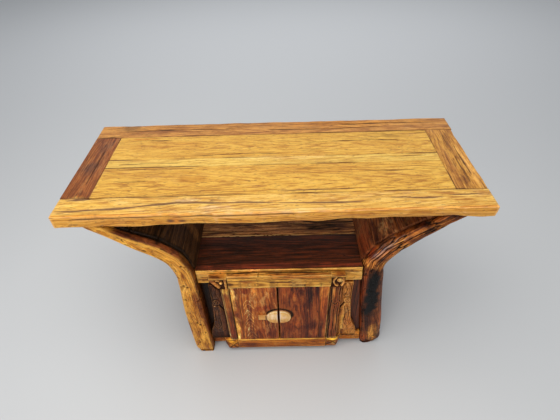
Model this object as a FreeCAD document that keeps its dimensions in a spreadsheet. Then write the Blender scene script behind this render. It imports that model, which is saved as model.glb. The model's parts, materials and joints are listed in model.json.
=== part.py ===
import FreeCAD, Part
import Sketcher
import math
import os
import re

# Altar table of old hardwood: a framed plank top on four naturally bent legs, an open shelf niche
# between them and, under the shelf, a small cupboard whose two leaves turn on wooden pivots and
# are held by a sliding wooden bolt. Millimetres, +Z up, front towards -Y, origin on the floor
# under the middle of the top.

SIZES = {
    "the whole table": {
        "table_length": 1400,
        "table_depth": 550,
        "table_height": 870,
        "joint_clearance": 0.5,
        "cut_overrun": 5,
    },
    "framed top": {
        "top_thickness": 50,
        "front_plank_width": 91,
        "back_plank_width": 93,
        "end_board_left_width": 97,
        "end_board_right_width": 103,
        "field_front_width": 162,
        "field_middle_width": 48,
        "live_edge_depth": 5,
        "waney_height": 13,
        "waney_depth": 16,
        "tongue_length": 12,
        "tongue_thickness": 14,
        "end_tenon_length": 22,
        "end_tenon_width": 58,
        "batten_from_middle": 250,
        "batten_width": 60,
        "batten_drop": 22,
        "dovetail_height": 9,
        "dovetail_flare": 5,
    },
    "bent legs": {
        "neck_drop": 15,
        "left_leg_from_middle": 300,
        "left_leg_width": 80,
        "left_leg_depth": 80,
        "left_leg_setback": 10,
        "left_leg_lean": 0,
        "left_arm_reach": 283,
        "left_leg_rounding": 15,
        "left_leg_chamfer": 6,
        "right_leg_from_middle": 368,
        "right_leg_width": 95,
        "right_leg_depth": 90,
        "right_leg_setback": 38,
        "right_leg_lean": 47,
        "right_arm_reach": 292,
        "right_leg_rounding": 30,
        "right_leg_chamfer": 11,
        "leg_tenon_width": 36,
        "leg_tenon_depth": 24,
        "leg_tenon_height": 30,
    },
    "niche walls": {
        "wall_setback": 30,
        "wall_thickness": 18,
    },
    "shelf": {
        "shelf_height": 555,
        "shelf_thickness": 25,
        "shelf_setback": 30,
        "shelf_front_width": 175,
        "shelf_middle_width": 160,
        "shelf_end_left": 316,
        "shelf_end_right": 337,
        "shelf_rail_height": 45,
        "shelf_rail_thickness": 38,
        "rail_tenon_length": 22,
        "rail_tenon_thickness": 12,
        "rail_tenon_shoulder": 8,
    },
    "cupboard front": {
        "front_setback": 12,
        "opening_left": 183,
        "opening_right": 206,
        "rail_bottom": 28,
        "rail_height": 67,
        "bottom_rail_depth": 33,
        "shelf_lip": 15,
        "lintel_height": 68,
        "lintel_thickness": 18,
        "lintel_tenon_length": 10,
        "lintel_tenon_thickness": 8,
        "lintel_tenon_shoulder": 14,
        "post_left_width": 34,
        "post_right_width": 43,
        "post_depth": 41,
        "post_tenon": 12,
        "post_tenon_inset": 3,
        "block_tenon_length": 9,
        "capital_left_width": 67,
        "capital_right_width": 51,
        "capital_proud": 5,
        "capital_cove": 9,
        "carved_board_setback": 13,
        "carved_board_thickness": 28,
        "carved_board_width": 44,
        "carved_left_flare": 34,
        "carved_right_flare": 42,
        "recess_setback": 41,
        "recess_thickness": 14,
        "side_rail_setback": 33,
        "side_rail_thickness": 25,
        "block_width": 67,
        "block_proud": 7,
        "block_depth": 70,
        "block_splay": 28,
    },
    "cupboard body": {
        "side_panel_thickness": 18,
        "panel_step": 2,
        "floor_thickness": 18,
        "floor_drop": 3,
        "cleat_width": 26,
        "cleat_height": 24,
        "back_board_split": 300,
        "stop_strip_height": 25,
        "stop_strip_thickness": 15,
        "stop_strip_inset": 13,
    },
    "doors": {
        "meeting_line": 3,
        "door_gap": 4,
        "door_clearance": 1,
        "door_end_clearance": 2,
        "door_recess": 1,
        "door_thickness": 16,
        "left_stile_width": 30,
        "right_stile_width": 34,
        "pivot_radius": 4.5,
        "pivot_length": 9,
        "pivot_clearance": 0.05,
        "socket_depth": 12,
        "door_batten_height": 34,
        "door_batten_thickness": 12,
        "door_batten_inset": 16,
        "door_batten_from_end": 55,
    },
    "keepers and bolt": {
        "keeper_height": 275,
        "keeper_width": 45,
        "keeper_tall": 80,
        "keeper_inset": 3,
        "keeper_thickness": 12.5,
        "keeper_dome": 5.2,
        "bolt_length": 79,
        "bolt_tall": 30,
        "bolt_thickness": 6,
        "bolt_clearance": 0.5,
        "bolt_travel": 30,
        "socket_length": 34,
        "stop_width": 6,
        "stop_tall": 10,
        "stop_height": 4,
        "stop_from_tail": 40,
    },
}

# Places worked out from the sizes, each in words of the sheet or of this list.
PLACES = {
    "underside": "table_height - top_thickness",
    "neck_height": "shelf_height - neck_drop",
    "top_front": "-table_depth / 2",
    "top_back": "table_depth / 2",
    "top_left": "-table_length / 2",
    "top_right": "table_length / 2",
    "frame_front": "top_front + front_plank_width",
    "frame_back": "top_back - back_plank_width",
    "field_left": "top_left + end_board_left_width",
    "field_right": "top_right - end_board_right_width",
    "field_joint_front": "frame_front + field_front_width",
    "field_joint_back": "field_joint_front + field_middle_width",
    "tongue_low": "underside + (top_thickness - tongue_thickness) / 2",
    "tongue_high": "tongue_low + tongue_thickness",
    "left_leg_front": "top_front + left_leg_setback",
    "right_leg_front": "top_front + right_leg_setback",
    "left_leg_back": "left_leg_front + left_leg_depth",
    "right_leg_back": "right_leg_front + right_leg_depth",
    "left_leg_inner": "-left_leg_from_middle",
    "right_neck": "right_leg_from_middle - right_leg_lean",
    "shelf_front": "top_front + shelf_setback",
    "shelf_back": "-shelf_front",
    "shelf_underside": "shelf_height - shelf_thickness",
    "shelf_rail_bottom": "shelf_underside - shelf_rail_height",
    "shelf_rail_back": "shelf_front + shelf_rail_thickness",
    "shelf_joint_front": "shelf_front + shelf_front_width",
    "shelf_joint_back": "shelf_joint_front + shelf_middle_width",
    "centre_front": "top_front + front_setback",
    "rail_top": "rail_bottom + rail_height",
    "lintel_top": "shelf_height - shelf_lip",
    "lintel_bottom": "lintel_top - lintel_height",
    "lintel_back": "centre_front + lintel_thickness",
    "opening_low_x": "-opening_left",
    "post_back": "centre_front + post_depth",
    "carved_front": "centre_front + carved_board_setback",
    "recess_front": "centre_front + recess_setback",
    "recess_back": "recess_front + recess_thickness",
    "side_rail_front": "centre_front + side_rail_setback",
    "side_rail_back": "side_rail_front + side_rail_thickness",
    "block_front": "centre_front - block_proud",
    "block_back": "block_front + block_depth",
    "bottom_rail_back": "centre_front + bottom_rail_depth",
    "side_panel_inner": "left_leg_inner + panel_step",
    "floor_top": "rail_top - floor_drop",
    "floor_bottom": "floor_top - floor_thickness",
    "door_front": "centre_front + door_recess",
    "door_back": "door_front + door_thickness",
    "door_middle": "door_front + door_thickness / 2",
    "door_low": "rail_top + door_end_clearance",
    "door_high": "lintel_bottom - door_end_clearance",
    "left_leaf_outer": "opening_low_x + door_clearance",
    "left_leaf_inner": "meeting_line - door_gap / 2",
    "right_leaf_inner": "meeting_line + door_gap / 2",
    "right_leaf_outer": "opening_right - door_clearance",
    "left_pivot": "left_leaf_outer + door_thickness / 2",
    "right_pivot": "right_leaf_outer - door_thickness / 2",
    "keeper_radius": "keeper_width / 2 + keeper_tall * keeper_tall / (8 * keeper_width)",
    "dome_radius": "keeper_dome / 2 + keeper_radius * keeper_radius / (2 * keeper_dome)",
    "left_keeper_inner": "left_leaf_inner - keeper_inset",
    "right_keeper_inner": "right_leaf_inner + keeper_inset",
    "bolt_tip": "left_keeper_inner - bolt_clearance",
    "bolt_tail": "bolt_tip - bolt_length",
    "bolt_back": "door_front - bolt_clearance",
    "bolt_front": "bolt_back - bolt_thickness",
    "bolt_low": "keeper_height - bolt_tall / 2",
    "bolt_high": "keeper_height + bolt_tall / 2",
}

# Courses of the legs: along the straight shank, height up to the neck, width and turn of the
# section in degrees; along the arm, reach and rise from the neck to the top, width and turn.
LEFT_SHANK_SHARES = [(0, 0.92, 0), (0.03, 0.98, 0), (0.28, 1, 0), (0.56, 1, 0), (0.74, 0.94, 0),
                     (0.89, 0.88, 0)]
LEFT_ARM_SHARES = [(0.0, 0.0, 0.85, 3), (0.021, 0.143, 0.85, 10), (0.057, 0.268, 0.84, 22),
                   (0.124, 0.411, 0.83, 38), (0.219, 0.521, 0.82, 47), (0.346, 0.621, 0.8, 52),
                   (0.512, 0.714, 0.72, 53), (0.696, 0.811, 0.57, 51), (0.866, 0.918, 0.46, 50),
                   (1, 1, 0.41, 50), (1.13, 1.09, 0.39, 50)]
RIGHT_SHANK_SHARES = [(0, 0.97, 0), (0.03, 1.02, 0), (0.28, 1, -5), (0.56, 0.95, -5), (0.74, 0.91, -3),
                      (0.89, 0.92, 2)]
RIGHT_ARM_SHARES = [(0.0, 0.0, 0.94, 12), (0.058, 0.204, 0.94, 27), (0.144, 0.339, 0.92, 34),
                    (0.243, 0.461, 0.87, 40), (0.342, 0.543, 0.8, 41), (0.538, 0.689, 0.65, 41),
                    (0.682, 0.779, 0.55, 39), (0.815, 0.871, 0.48, 37), (1, 1, 0.44, 37),
                    (1.144, 1.107, 0.42, 37)]
# Sections of a leg's loft for each one given above.
LEG_STEPS = 2
# Where the wall boards meet, in the same shares of an arm's reach and rise as the legs.
LEFT_WALL_SHARES = [(-0.014, 0.0), (0.071, 0.4), (0.332, 0.661), (0.654, 0.811), (0.961, 1)]
RIGHT_WALL_SHARES = [(-0.017, 0.0), (0.12, 0.364), (0.38, 0.604), (0.675, 0.804), (0.976, 1)]
# How far the live edges draw in along the planks, from their left or front end.
FRONT_EDGE_SHARES = [0.2, 0.5, 0.0, 0.7, 0.2, 0.5, 0.0, 0.5, 0.2]
BACK_EDGE_SHARES = [0.3, 0.6, 0.1, 0.4, 0.0, 0.5, 0.2]
RIGHT_EDGE_SHARES = [0.2, 0.5, 0.0, 0.9, 0.3]
WANEY_SHARES = [0.15, 0.3, 0.1, 0.5, 0.25, 0.45, 0.3, 0.9, 0.75, 1.0, 0.6, 0.85, 0.5]
# Outer edge of a carved board from its head down: height and flare.
CARVED_EDGE_SHARES = [(1, 0.05), (0.86, 0.0), (0.62, 0.08), (0.42, 0.2), (0.28, 0.42), (0.16, 0.86),
                      (0.05, 1), (0, 1)]

WALL_BOARD_NAMES = ["lower", "middle", "upper", "top"]

doc = FreeCAD.newDocument("AltarTable")
sheet = doc.addObject("Spreadsheet::Sheet", "Sizes")
pieces = []


def fill_sheet():
    row = 1
    for group, sizes in SIZES.items():
        sheet.set(f"A{row}", group)
        row += 1
        for alias, value in sizes.items():
            sheet.set(f"A{row}", alias.replace("_", " "))
            sheet.set(f"B{row}", str(value))
            sheet.setAlias(f"B{row}", alias)
            row += 1
    doc.recompute()


def spelled(words):
    """Write a length out in the sheet's own cells."""
    def cell(match):
        word = match.group()
        return f"({spelled(PLACES[word])})" if word in PLACES else f"Sizes.{word}"
    return re.sub(r"[a-z_]{3,}", cell, str(words))


def value_of(words):
    return float(sheet.evalExpression(spelled(words)))


def keep(label, shown):
    """Register a finished sub-part under the name of its file."""
    shown.Label = label
    pieces.append(shown)
    return shown


def block(name, x, y, z):
    """A box between two corners, bound to the sheet on every side."""
    box = doc.addObject("Part::Box", name)
    for side, axis, (low, high) in (("Length", "x", x), ("Width", "y", y), ("Height", "z", z)):
        box.setExpression(side, spelled(f"({high}) - ({low})"))
        box.setExpression(f"Placement.Base.{axis}", spelled(low))
    return box


def rod(name, x, y, z, radius):
    """An upright cylinder bound to the sheet."""
    cylinder = doc.addObject("Part::Cylinder", name)
    cylinder.setExpression("Radius", spelled(radius))
    cylinder.setExpression("Height", spelled(f"({z[1]}) - ({z[0]})"))
    for axis, low in (("x", x), ("y", y), ("z", z[0])):
        cylinder.setExpression(f"Placement.Base.{axis}", spelled(low))
    return cylinder


def joined(name, shapes):
    fusion = doc.addObject("Part::MultiFuse", name)
    fusion.Shapes = shapes
    fusion.Refine = True
    return fusion


def without(name, base, tools):
    """The base with each tool cut out of it in turn."""
    for number, tool in enumerate(tools, 1):
        cut = doc.addObject("Part::Cut", f"{name}_{number}")
        cut.Base = base
        cut.Tool = tool
        base = cut
    return base


def attach(body, sketch, plane):
    sketch.AttachmentSupport = [(next(f for f in body.Origin.OriginFeatures if f.Role == plane), "")]
    sketch.MapMode = "FlatFace"


def profiled(name, plane, corners, start, end):
    """A body padded from a polygon whose corners are bound to the sheet, along Y or Z."""
    body = doc.addObject("PartDesign::Body", name)
    sketch = body.newObject("Sketcher::SketchObject", f"{name}_profile")
    attach(body, sketch, plane)
    spots = [FreeCAD.Vector(value_of(u), value_of(v), 0) for u, v in corners]
    for number, spot in enumerate(spots):
        sketch.addGeometry(Part.LineSegment(spot, spots[(number + 1) % len(spots)]), False)
    for number, (u, v) in enumerate(corners):
        sketch.addConstraint(Sketcher.Constraint("Coincident", number, 2, (number + 1) % len(corners), 1))
        for kind, words in (("DistanceX", u), ("DistanceY", v)):
            index = sketch.addConstraint(Sketcher.Constraint(kind, -1, 1, number, 1, value_of(words)))
            sketch.renameConstraint(index, f"{kind[-1].lower()}_{number}")
            sketch.setExpression(f"Constraints.{kind[-1].lower()}_{number}", spelled(words))
    along_y = plane == "XZ_Plane"
    sketch.setExpression("AttachmentOffset.Base.z", spelled(f"-({start})" if along_y else start))
    pad = body.newObject("PartDesign::Pad", f"{name}_pad")
    pad.Profile = sketch
    pad.Reversed = along_y
    pad.setExpression("Length", spelled(f"({end}) - ({start})"))
    body.Tip = pad
    return body


def shaped(label, solid):
    """A free-form piece, worked out in code from the sheet's sizes."""
    feature = doc.addObject("Part::Feature", label)
    feature.Shape = solid
    feature.Placement = FreeCAD.Placement()
    return keep(label, feature)


def solid_box(x, y, z):
    low = FreeCAD.Vector(value_of(x[0]), value_of(y[0]), value_of(z[0]))
    high = FreeCAD.Vector(value_of(x[1]), value_of(y[1]), value_of(z[1]))
    return Part.makeBox(high.x - low.x, high.y - low.y, high.z - low.z, low)


def prism(corners, direction):
    wire = Part.makePolygon(corners + corners[:1])
    return Part.Face(wire).extrude(direction)


def live_edge(start, end, inward, shares):
    """A spline from start to end that draws in by the live edge's depth."""
    depth = value_of("live_edge_depth")
    spots = [start]
    for number, share in enumerate(shares, 1):
        along = number / (len(shares) + 1)
        spots.append(start + (end - start) * along + inward * (depth * share))
    spots.append(end)
    curve = Part.BSplineCurve()
    curve.interpolate(spots)
    return curve.toShape()


def plank(x, y, edges):
    """A plank of the top; edges maps a side of it to the shares of its live edge."""
    x_low, x_high = value_of(x[0]), value_of(x[1])
    y_low, y_high = value_of(y[0]), value_of(y[1])
    z_low = value_of("underside")
    corners = [FreeCAD.Vector(x_low, y_low, z_low), FreeCAD.Vector(x_high, y_low, z_low),
               FreeCAD.Vector(x_high, y_high, z_low), FreeCAD.Vector(x_low, y_high, z_low)]
    inwards = {"front": FreeCAD.Vector(0, 1, 0), "right": FreeCAD.Vector(-1, 0, 0),
               "back": FreeCAD.Vector(0, -1, 0), "left": FreeCAD.Vector(1, 0, 0)}
    outline = []
    for number, (side, inward) in enumerate(inwards.items()):
        start, end = corners[number], corners[(number + 1) % 4]
        if side in edges:
            outline.append(live_edge(start, end, inward, edges[side]))
        else:
            outline.append(Part.LineSegment(start, end).toShape())
    return Part.Face(Part.Wire(outline)).extrude(FreeCAD.Vector(0, 0, value_of("top_thickness")))


def waney_cut():
    """What the old bark line took off the lower front arris of the front plank."""
    overrun = value_of("cut_overrun")
    front = value_of("top_front") - overrun
    low = value_of("underside")
    left, right = value_of("top_left") - overrun, value_of("top_right") + overrun
    spots = []
    for number, share in enumerate(WANEY_SHARES):
        along = number / (len(WANEY_SHARES) - 1)
        x = left + (right - left) * along
        spots.append(FreeCAD.Vector(x, front, low + overrun + value_of("waney_height") * share))
    curve = Part.BSplineCurve()
    curve.interpolate(spots)
    foot = [FreeCAD.Vector(spots[-1].x, front, low - value_of("waney_height")),
            FreeCAD.Vector(spots[0].x, front, low - value_of("waney_height"))]
    wire = Part.Wire([curve.toShape(), Part.LineSegment(spots[-1], foot[0]).toShape(),
                      Part.LineSegment(foot[0], foot[1]).toShape(),
                      Part.LineSegment(foot[1], spots[0]).toShape()])
    run = value_of("waney_depth") + overrun
    return Part.Face(wire).extrude(FreeCAD.Vector(0, run, -run))


def leg_spot(side, reach_share, rise_share):
    """A spot of a leg's inner contour, in the plane y = 0, from shares of its arm."""
    neck = value_of("left_leg_inner") if side == "left" else value_of("right_neck")
    sign = -1 if side == "left" else 1
    neck_height = value_of("neck_height")
    rise = value_of("underside") - neck_height
    x = neck + sign * value_of(f"{side}_arm_reach") * reach_share
    return FreeCAD.Vector(x, 0, neck_height + rise * rise_share)


def inner_line(side, height):
    """Where the inner face of a leg's straight shank stands at a height."""
    lean = value_of(f"{side}_leg_lean") * height / value_of("neck_height")
    sign = -1 if side == "left" else 1
    return sign * (value_of(f"{side}_leg_from_middle") - lean)


def leg_section(side, inner, width, turn):
    """A rectangle across the leg, chamfered towards the niche and rounded on the bark side."""
    sign = -1 if side == "left" else 1
    angle = math.radians(turn)
    outward = FreeCAD.Vector(sign * math.cos(angle), 0, -math.sin(angle))
    back = FreeCAD.Vector(0, 1, 0)
    depth = value_of(f"{side}_leg_depth")
    round_off = min(value_of(f"{side}_leg_rounding"), width / 3)
    chamfer = min(value_of(f"{side}_leg_chamfer"), width / 3)
    start = FreeCAD.Vector(inner.x, value_of(f"{side}_leg_front"), inner.z)
    corners = [(0, 0, chamfer), (width, 0, round_off), (width, depth, round_off), (0, depth, chamfer)]
    steps = [(1, 0), (0, 1), (-1, 0), (0, -1)]
    edges = []
    last = None
    for number, (out, deep, radius) in enumerate(corners):
        before, after = steps[number - 1], steps[number]
        corner = start + outward * out + back * deep
        arrive = corner - (outward * before[0] + back * before[1]) * radius
        leave = corner + (outward * after[0] + back * after[1]) * radius
        bend = corner + ((outward * after[0] + back * after[1]) - (outward * before[0] + back * before[1])) \
            * (radius * (1 - math.sqrt(0.5)))
        if last is not None:
            edges.append(Part.LineSegment(last, arrive).toShape())
        if out == width:
            edges.append(Part.Arc(arrive, bend, leave).toShape())
        else:
            edges.append(Part.LineSegment(arrive, leave).toShape())
        last = leave
    first = edges[0].Vertexes[0].Point
    edges.append(Part.LineSegment(last, first).toShape())
    return Part.Wire(edges)


def leg_course(side):
    """Inner contour, width and turn of every section: straight up the shank, eased along the arm."""
    shank = LEFT_SHANK_SHARES if side == "left" else RIGHT_SHANK_SHARES
    arm = LEFT_ARM_SHARES if side == "left" else RIGHT_ARM_SHARES
    full = value_of(f"{side}_leg_width")
    course = []
    for height_share, width_share, turn in shank:
        height = value_of("neck_height") * height_share
        course.append((inner_line(side, height), height, full * width_share, turn))
    rows = [course[-1]]
    for reach_share, rise_share, width_share, turn in arm:
        inner = leg_spot(side, reach_share, rise_share)
        rows.append((inner.x, inner.z, full * width_share, turn))
    for number in range(1, len(rows) - 1):
        around = [rows[number - 1], rows[number], rows[number + 1], rows[min(number + 2, len(rows) - 1)]]
        for step in range(LEG_STEPS):
            course.append([eased(*values, step / LEG_STEPS) for values in zip(*around)])
    return course + [rows[-1]]


def eased(before, start, end, after, share):
    """A cubic through start and end that leaves each along the line of its neighbours."""
    leave, arrive = (end - before) / 2, (after - start) / 2
    bend = 3 * (end - start) - 2 * leave - arrive
    twist = 2 * (start - end) + leave + arrive
    return start + share * (leave + share * (bend + share * twist))


def leg_stock(side):
    """The bent branch, lofted through its sections and trimmed to the floor and the top."""
    sections = [leg_section(side, FreeCAD.Vector(x, 0, z), width, turn)
                for x, z, width, turn in leg_course(side)]
    branch = Part.makeLoft(sections, True, True)
    overrun = value_of("table_length")
    low = FreeCAD.Vector(-overrun, -overrun, 0)
    return branch.common(Part.makeBox(2 * overrun, 2 * overrun, value_of("underside"), low))


def leg_head(side):
    """The middle of the leg's head under the top."""
    arm = LEFT_ARM_SHARES if side == "left" else RIGHT_ARM_SHARES
    width, turn = next((share, angle) for reach, rise, share, angle in arm if rise == 1)
    run = value_of(f"{side}_leg_width") * width / math.sin(math.radians(90 - turn))
    sign = -1 if side == "left" else 1
    middle = leg_spot(side, 1, 1) + FreeCAD.Vector(sign * run / 2, 0, 0)
    middle.y = value_of(f"({side}_leg_front + frame_front - end_tenon_length) / 2")
    return middle


def leg_tenon(side, clearance):
    """The tenon on the leg's head, or its mortise with the clearance added."""
    middle = leg_head(side)
    wide = value_of("leg_tenon_width") + 2 * clearance
    deep = value_of("leg_tenon_depth") + 2 * clearance
    tall = value_of("leg_tenon_height") + clearance
    low = middle - FreeCAD.Vector(wide / 2, deep / 2, 0)
    return Part.makeBox(wide, deep, tall, low)


def wall_line(side):
    """The niche face of the wall boards and their backs, mitred where two boards meet."""
    shares = LEFT_WALL_SHARES if side == "left" else RIGHT_WALL_SHARES
    face = [leg_spot(side, reach, rise) for reach, rise in shares]
    floor, ceiling = value_of("shelf_height"), value_of("underside")
    face[0].z = floor
    thick = value_of("wall_thickness")
    sign = 1 if side == "left" else -1
    normals = []
    for low, high in zip(face, face[1:]):
        run = (high - low).normalize()
        normals.append(FreeCAD.Vector(-run.z * sign, 0, run.x * sign))
    backs = []
    for number, spot in enumerate(face):
        if number == 0 or number == len(face) - 1:
            normal = normals[0 if number == 0 else -1]
            run = (face[1] - face[0] if number == 0 else face[-1] - face[-2]).normalize()
            off = spot + normal * thick
            level = floor if number == 0 else ceiling
            backs.append(off + run * ((level - off.z) / run.z))
        else:
            mitre = (normals[number - 1] + normals[number]).normalize()
            backs.append(spot + mitre * (thick / mitre.dot(normals[number])))
    return face, backs


def wall_boards(side):
    face, backs = wall_line(side)
    front = value_of(f"{side}_leg_front + wall_setback")
    deep = FreeCAD.Vector(0, -2 * front, 0)
    boards = []
    for number in range(len(face) - 1):
        corners = [face[number], face[number + 1], backs[number + 1], backs[number]]
        corners = [FreeCAD.Vector(spot.x, front, spot.z) for spot in corners]
        boards.append(prism(corners, deep))
    return boards


def flipped(solid):
    """The same piece at the back of the table."""
    return solid.mirror(FreeCAD.Vector(0, 0, 0), FreeCAD.Vector(0, 1, 0))


def leg_line(side, height):
    """The face of a leg's straight shank at a height, less the joint clearance, in the sheet's words."""
    line = f"({side}_leg_from_middle - {side}_leg_lean * ({height}) / neck_height - joint_clearance)"
    return f"-{line}" if side == "left" else line


def across_legs(bottom, top):
    """Corners of a board that runs from leg to leg, for a profile seen from the front."""
    return [(leg_line("left", bottom), bottom), (leg_line("right", bottom), bottom),
            (leg_line("right", top), top), (leg_line("left", top), top)]


def roomier(limits):
    """The same stretch with the joint clearance added at both ends."""
    return (f"{limits[0]} - joint_clearance", f"{limits[1]} + joint_clearance")


def behind(limits):
    """The same stretch of depth at the back of the table."""
    return (f"-({limits[1]})", f"-({limits[0]})")


SHELF_RAIL_Y = ("shelf_front", "shelf_rail_back")
SIDE_RAIL_Y = ("side_rail_front", "side_rail_back")
RAIL_Z = ("rail_bottom", "rail_top")
SHELF_TENON_Y = ("shelf_rail_back - rail_tenon_shoulder - rail_tenon_thickness",
                 "shelf_rail_back - rail_tenon_shoulder")
SIDE_TENON_Y = ("side_rail_front + rail_tenon_shoulder", "side_rail_back - rail_tenon_shoulder")
STUB_Y = ("centre_front + rail_tenon_thickness", "centre_front + 2 * rail_tenon_thickness")
POST_TENON_Y = ("centre_front + post_tenon_inset", "centre_front + post_tenon_inset + post_tenon")
LINTEL_TENON_Y = ("door_middle - lintel_tenon_thickness / 2", "door_middle + lintel_tenon_thickness / 2")
LINTEL_TENON_Z = ("lintel_bottom + lintel_tenon_shoulder", "lintel_top - lintel_tenon_shoulder")
SHELF_TENON_Z = ("shelf_rail_bottom + rail_tenon_shoulder", "shelf_underside - rail_tenon_shoulder")
SIDE_TENON_Z = ("rail_bottom + rail_tenon_shoulder", "rail_top - rail_tenon_shoulder")
SHELF_TENON_ENDS = ("left_leg_inner - rail_tenon_length", "right_neck + rail_tenon_length")
SIDE_TENON_ENDS = ("left_leg_inner - rail_tenon_length", "right_leg_from_middle + rail_tenon_length")


def make_legs_and_walls():
    for side in ("left", "right"):
        boards = wall_boards(side)
        for name, board in zip(WALL_BOARD_NAMES, boards):
            shaped(f"wall_board_{side}_{name}", board)
        mortises = [solid_box(roomier(SHELF_TENON_ENDS), roomier(SHELF_TENON_Y), roomier(SHELF_TENON_Z)),
                    solid_box(roomier(SIDE_TENON_ENDS), roomier(SIDE_TENON_Y), roomier(SIDE_TENON_Z))]
        leg = leg_stock(side).fuse(leg_tenon(side, 0)).cut(mortises + boards)
        shaped(f"leg_front_{side}", leg)
        shaped(f"leg_back_{side}", flipped(leg))


def end_tenon(low_x, high_x, clearance):
    """The tenon through an end board into the long planks, or its mortise."""
    middle = f"({low_x} + {high_x}) / 2"
    x = (f"{middle} - end_tenon_width / 2 - {clearance}", f"{middle} + end_tenon_width / 2 + {clearance}")
    y = (f"frame_front - end_tenon_length - {clearance}", f"frame_back + end_tenon_length + {clearance}")
    z = (f"tongue_low - {clearance}", f"tongue_high + {clearance}")
    return solid_box(x, y, z)


def make_frame_of_top():
    left_end = ("top_left", "field_left")
    right_end = ("field_right", "top_right")
    mortises = [end_tenon(*left_end, "joint_clearance"), end_tenon(*right_end, "joint_clearance")]
    clearance = value_of("joint_clearance")
    leg_mortises = [leg_tenon(side, clearance) for side in ("left", "right")]
    front = plank(("top_left", "top_right"), ("top_front", "frame_front"), {"front": FRONT_EDGE_SHARES})
    shaped("top_front_plank", front.cut([waney_cut()] + mortises + leg_mortises))
    back = plank(("top_left", "top_right"), ("frame_back", "top_back"), {"back": BACK_EDGE_SHARES})
    shaped("top_back_plank", back.cut(mortises + [flipped(mortise) for mortise in leg_mortises]))
    between = ("frame_front", "frame_back")
    groove_z = ("tongue_low", "tongue_high")
    left_groove = ("field_left - tongue_length - joint_clearance", "field_left")
    right_groove = ("field_right", "field_right + tongue_length + joint_clearance")
    left = plank(left_end, between, {}).cut(solid_box(left_groove, between, groove_z))
    shaped("top_end_board_left", left.fuse(end_tenon(*left_end, "0").common(tenon_room(left_end))))
    right = plank(right_end, between, {"right": RIGHT_EDGE_SHARES})
    right = right.cut(solid_box(right_groove, between, groove_z))
    shaped("top_end_board_right", right.fuse(end_tenon(*right_end, "0").common(tenon_room(right_end))))


def tenon_room(end):
    """The solid part of an end board, clear of the groove for the field's tongues."""
    low, high = end
    if low == "top_left":
        high = f"{high} - tongue_length - joint_clearance"
    else:
        low = f"{low} + tongue_length + joint_clearance"
    return solid_box((low, high), ("top_front", "top_back"), ("underside", "table_height"))


def make_field_of_top():
    grooves = []
    for side, middle in (("left", "-batten_from_middle"), ("right", "batten_from_middle")):
        low, high = f"{middle} - batten_width / 2", f"{middle} + batten_width / 2"
        profile = [(low, "underside - batten_drop"), (high, "underside - batten_drop"), (high, "underside"),
                   (f"{high} - dovetail_flare", "underside"), (high, "underside + dovetail_height"),
                   (low, "underside + dovetail_height"), (f"{low} + dovetail_flare", "underside"),
                   (low, "underside")]
        span = ("frame_front + joint_clearance", "frame_back - joint_clearance")
        keep(f"top_batten_{side}", profiled(f"batten_{side}", "XZ_Plane", profile, *span))
        deep = "underside + dovetail_height + joint_clearance"
        profile = [(f"{low} + dovetail_flare - joint_clearance", "underside"),
                   (f"{high} - dovetail_flare + joint_clearance", "underside"),
                   (f"{high} + joint_clearance", deep), (f"{low} - joint_clearance", deep)]
        grooves.append(profiled(f"batten_groove_{side}", "XZ_Plane", profile, "frame_front", "frame_back"))
    rows = {"front": ("frame_front", "field_joint_front"),
            "middle": ("field_joint_front", "field_joint_back"),
            "back": ("field_joint_back", "frame_back")}
    tongue_ends = ("field_left - tongue_length", "field_right + tongue_length")
    for row, y in rows.items():
        stock = block(f"field_{row}_stock", ("field_left", "field_right"), y, ("underside", "table_height"))
        tongues = block(f"field_{row}_tongues", tongue_ends, y, ("tongue_low", "tongue_high"))
        whole = joined(f"field_{row}", [stock, tongues])
        keep(f"top_field_plank_{row}", without(f"field_{row}_housed", whole, grooves))


def make_shelf():
    left_end, right_end = "-shelf_end_left", "shelf_end_right"
    left_notch, right_notch = leg_line("left", "shelf_height"), "right_neck - joint_clearance"
    planks = {"front": ("shelf_front", "shelf_joint_front", "left_leg_back + joint_clearance",
                        "right_leg_back + joint_clearance"),
              "back": ("shelf_back", "shelf_joint_back", "-left_leg_back - joint_clearance",
                       "-right_leg_back - joint_clearance")}
    for name, (edge, joint, left_step, right_step) in planks.items():
        corners = [(left_notch, edge), (right_notch, edge), (right_notch, right_step),
                   (right_end, right_step), (right_end, joint), (left_end, joint),
                   (left_end, left_step), (left_notch, left_step)]
        body = profiled(f"shelf_{name}", "XY_Plane", corners, "shelf_underside", "shelf_height")
        keep(f"shelf_{name}_plank", body)
    middle_y = ("shelf_joint_front", "shelf_joint_back")
    keep("shelf_middle_plank", block("shelf_middle", (left_end, right_end), middle_y,
                                     ("shelf_underside", "shelf_height")))
    for name, turn in (("front", tuple), ("back", behind)):
        outline = across_legs("shelf_rail_bottom", "shelf_underside")
        rail = profiled(f"shelf_rail_{name}", "XZ_Plane", outline, *turn(SHELF_RAIL_Y))
        tenons = block(f"shelf_rail_{name}_tenons", SHELF_TENON_ENDS, turn(SHELF_TENON_Y), SHELF_TENON_Z)
        keep(f"shelf_{name}_rail", joined(f"shelf_{name}_rail_whole", [rail, tenons]))


def outward(side, distance):
    """The distance out from the door opening's edge on one side."""
    return f"opening_low_x - ({distance})" if side == "left" else f"opening_right + ({distance})"


def stretch(side, near, far):
    """A stretch of x between two distances out from the opening, low end first."""
    ends = (outward(side, near), outward(side, far))
    return ends[::-1] if side == "left" else ends


def post_tenon_x(side):
    width = f"post_{side}_width"
    return stretch(side, f"({width} - post_tenon) / 2", f"({width} + post_tenon) / 2")


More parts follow.
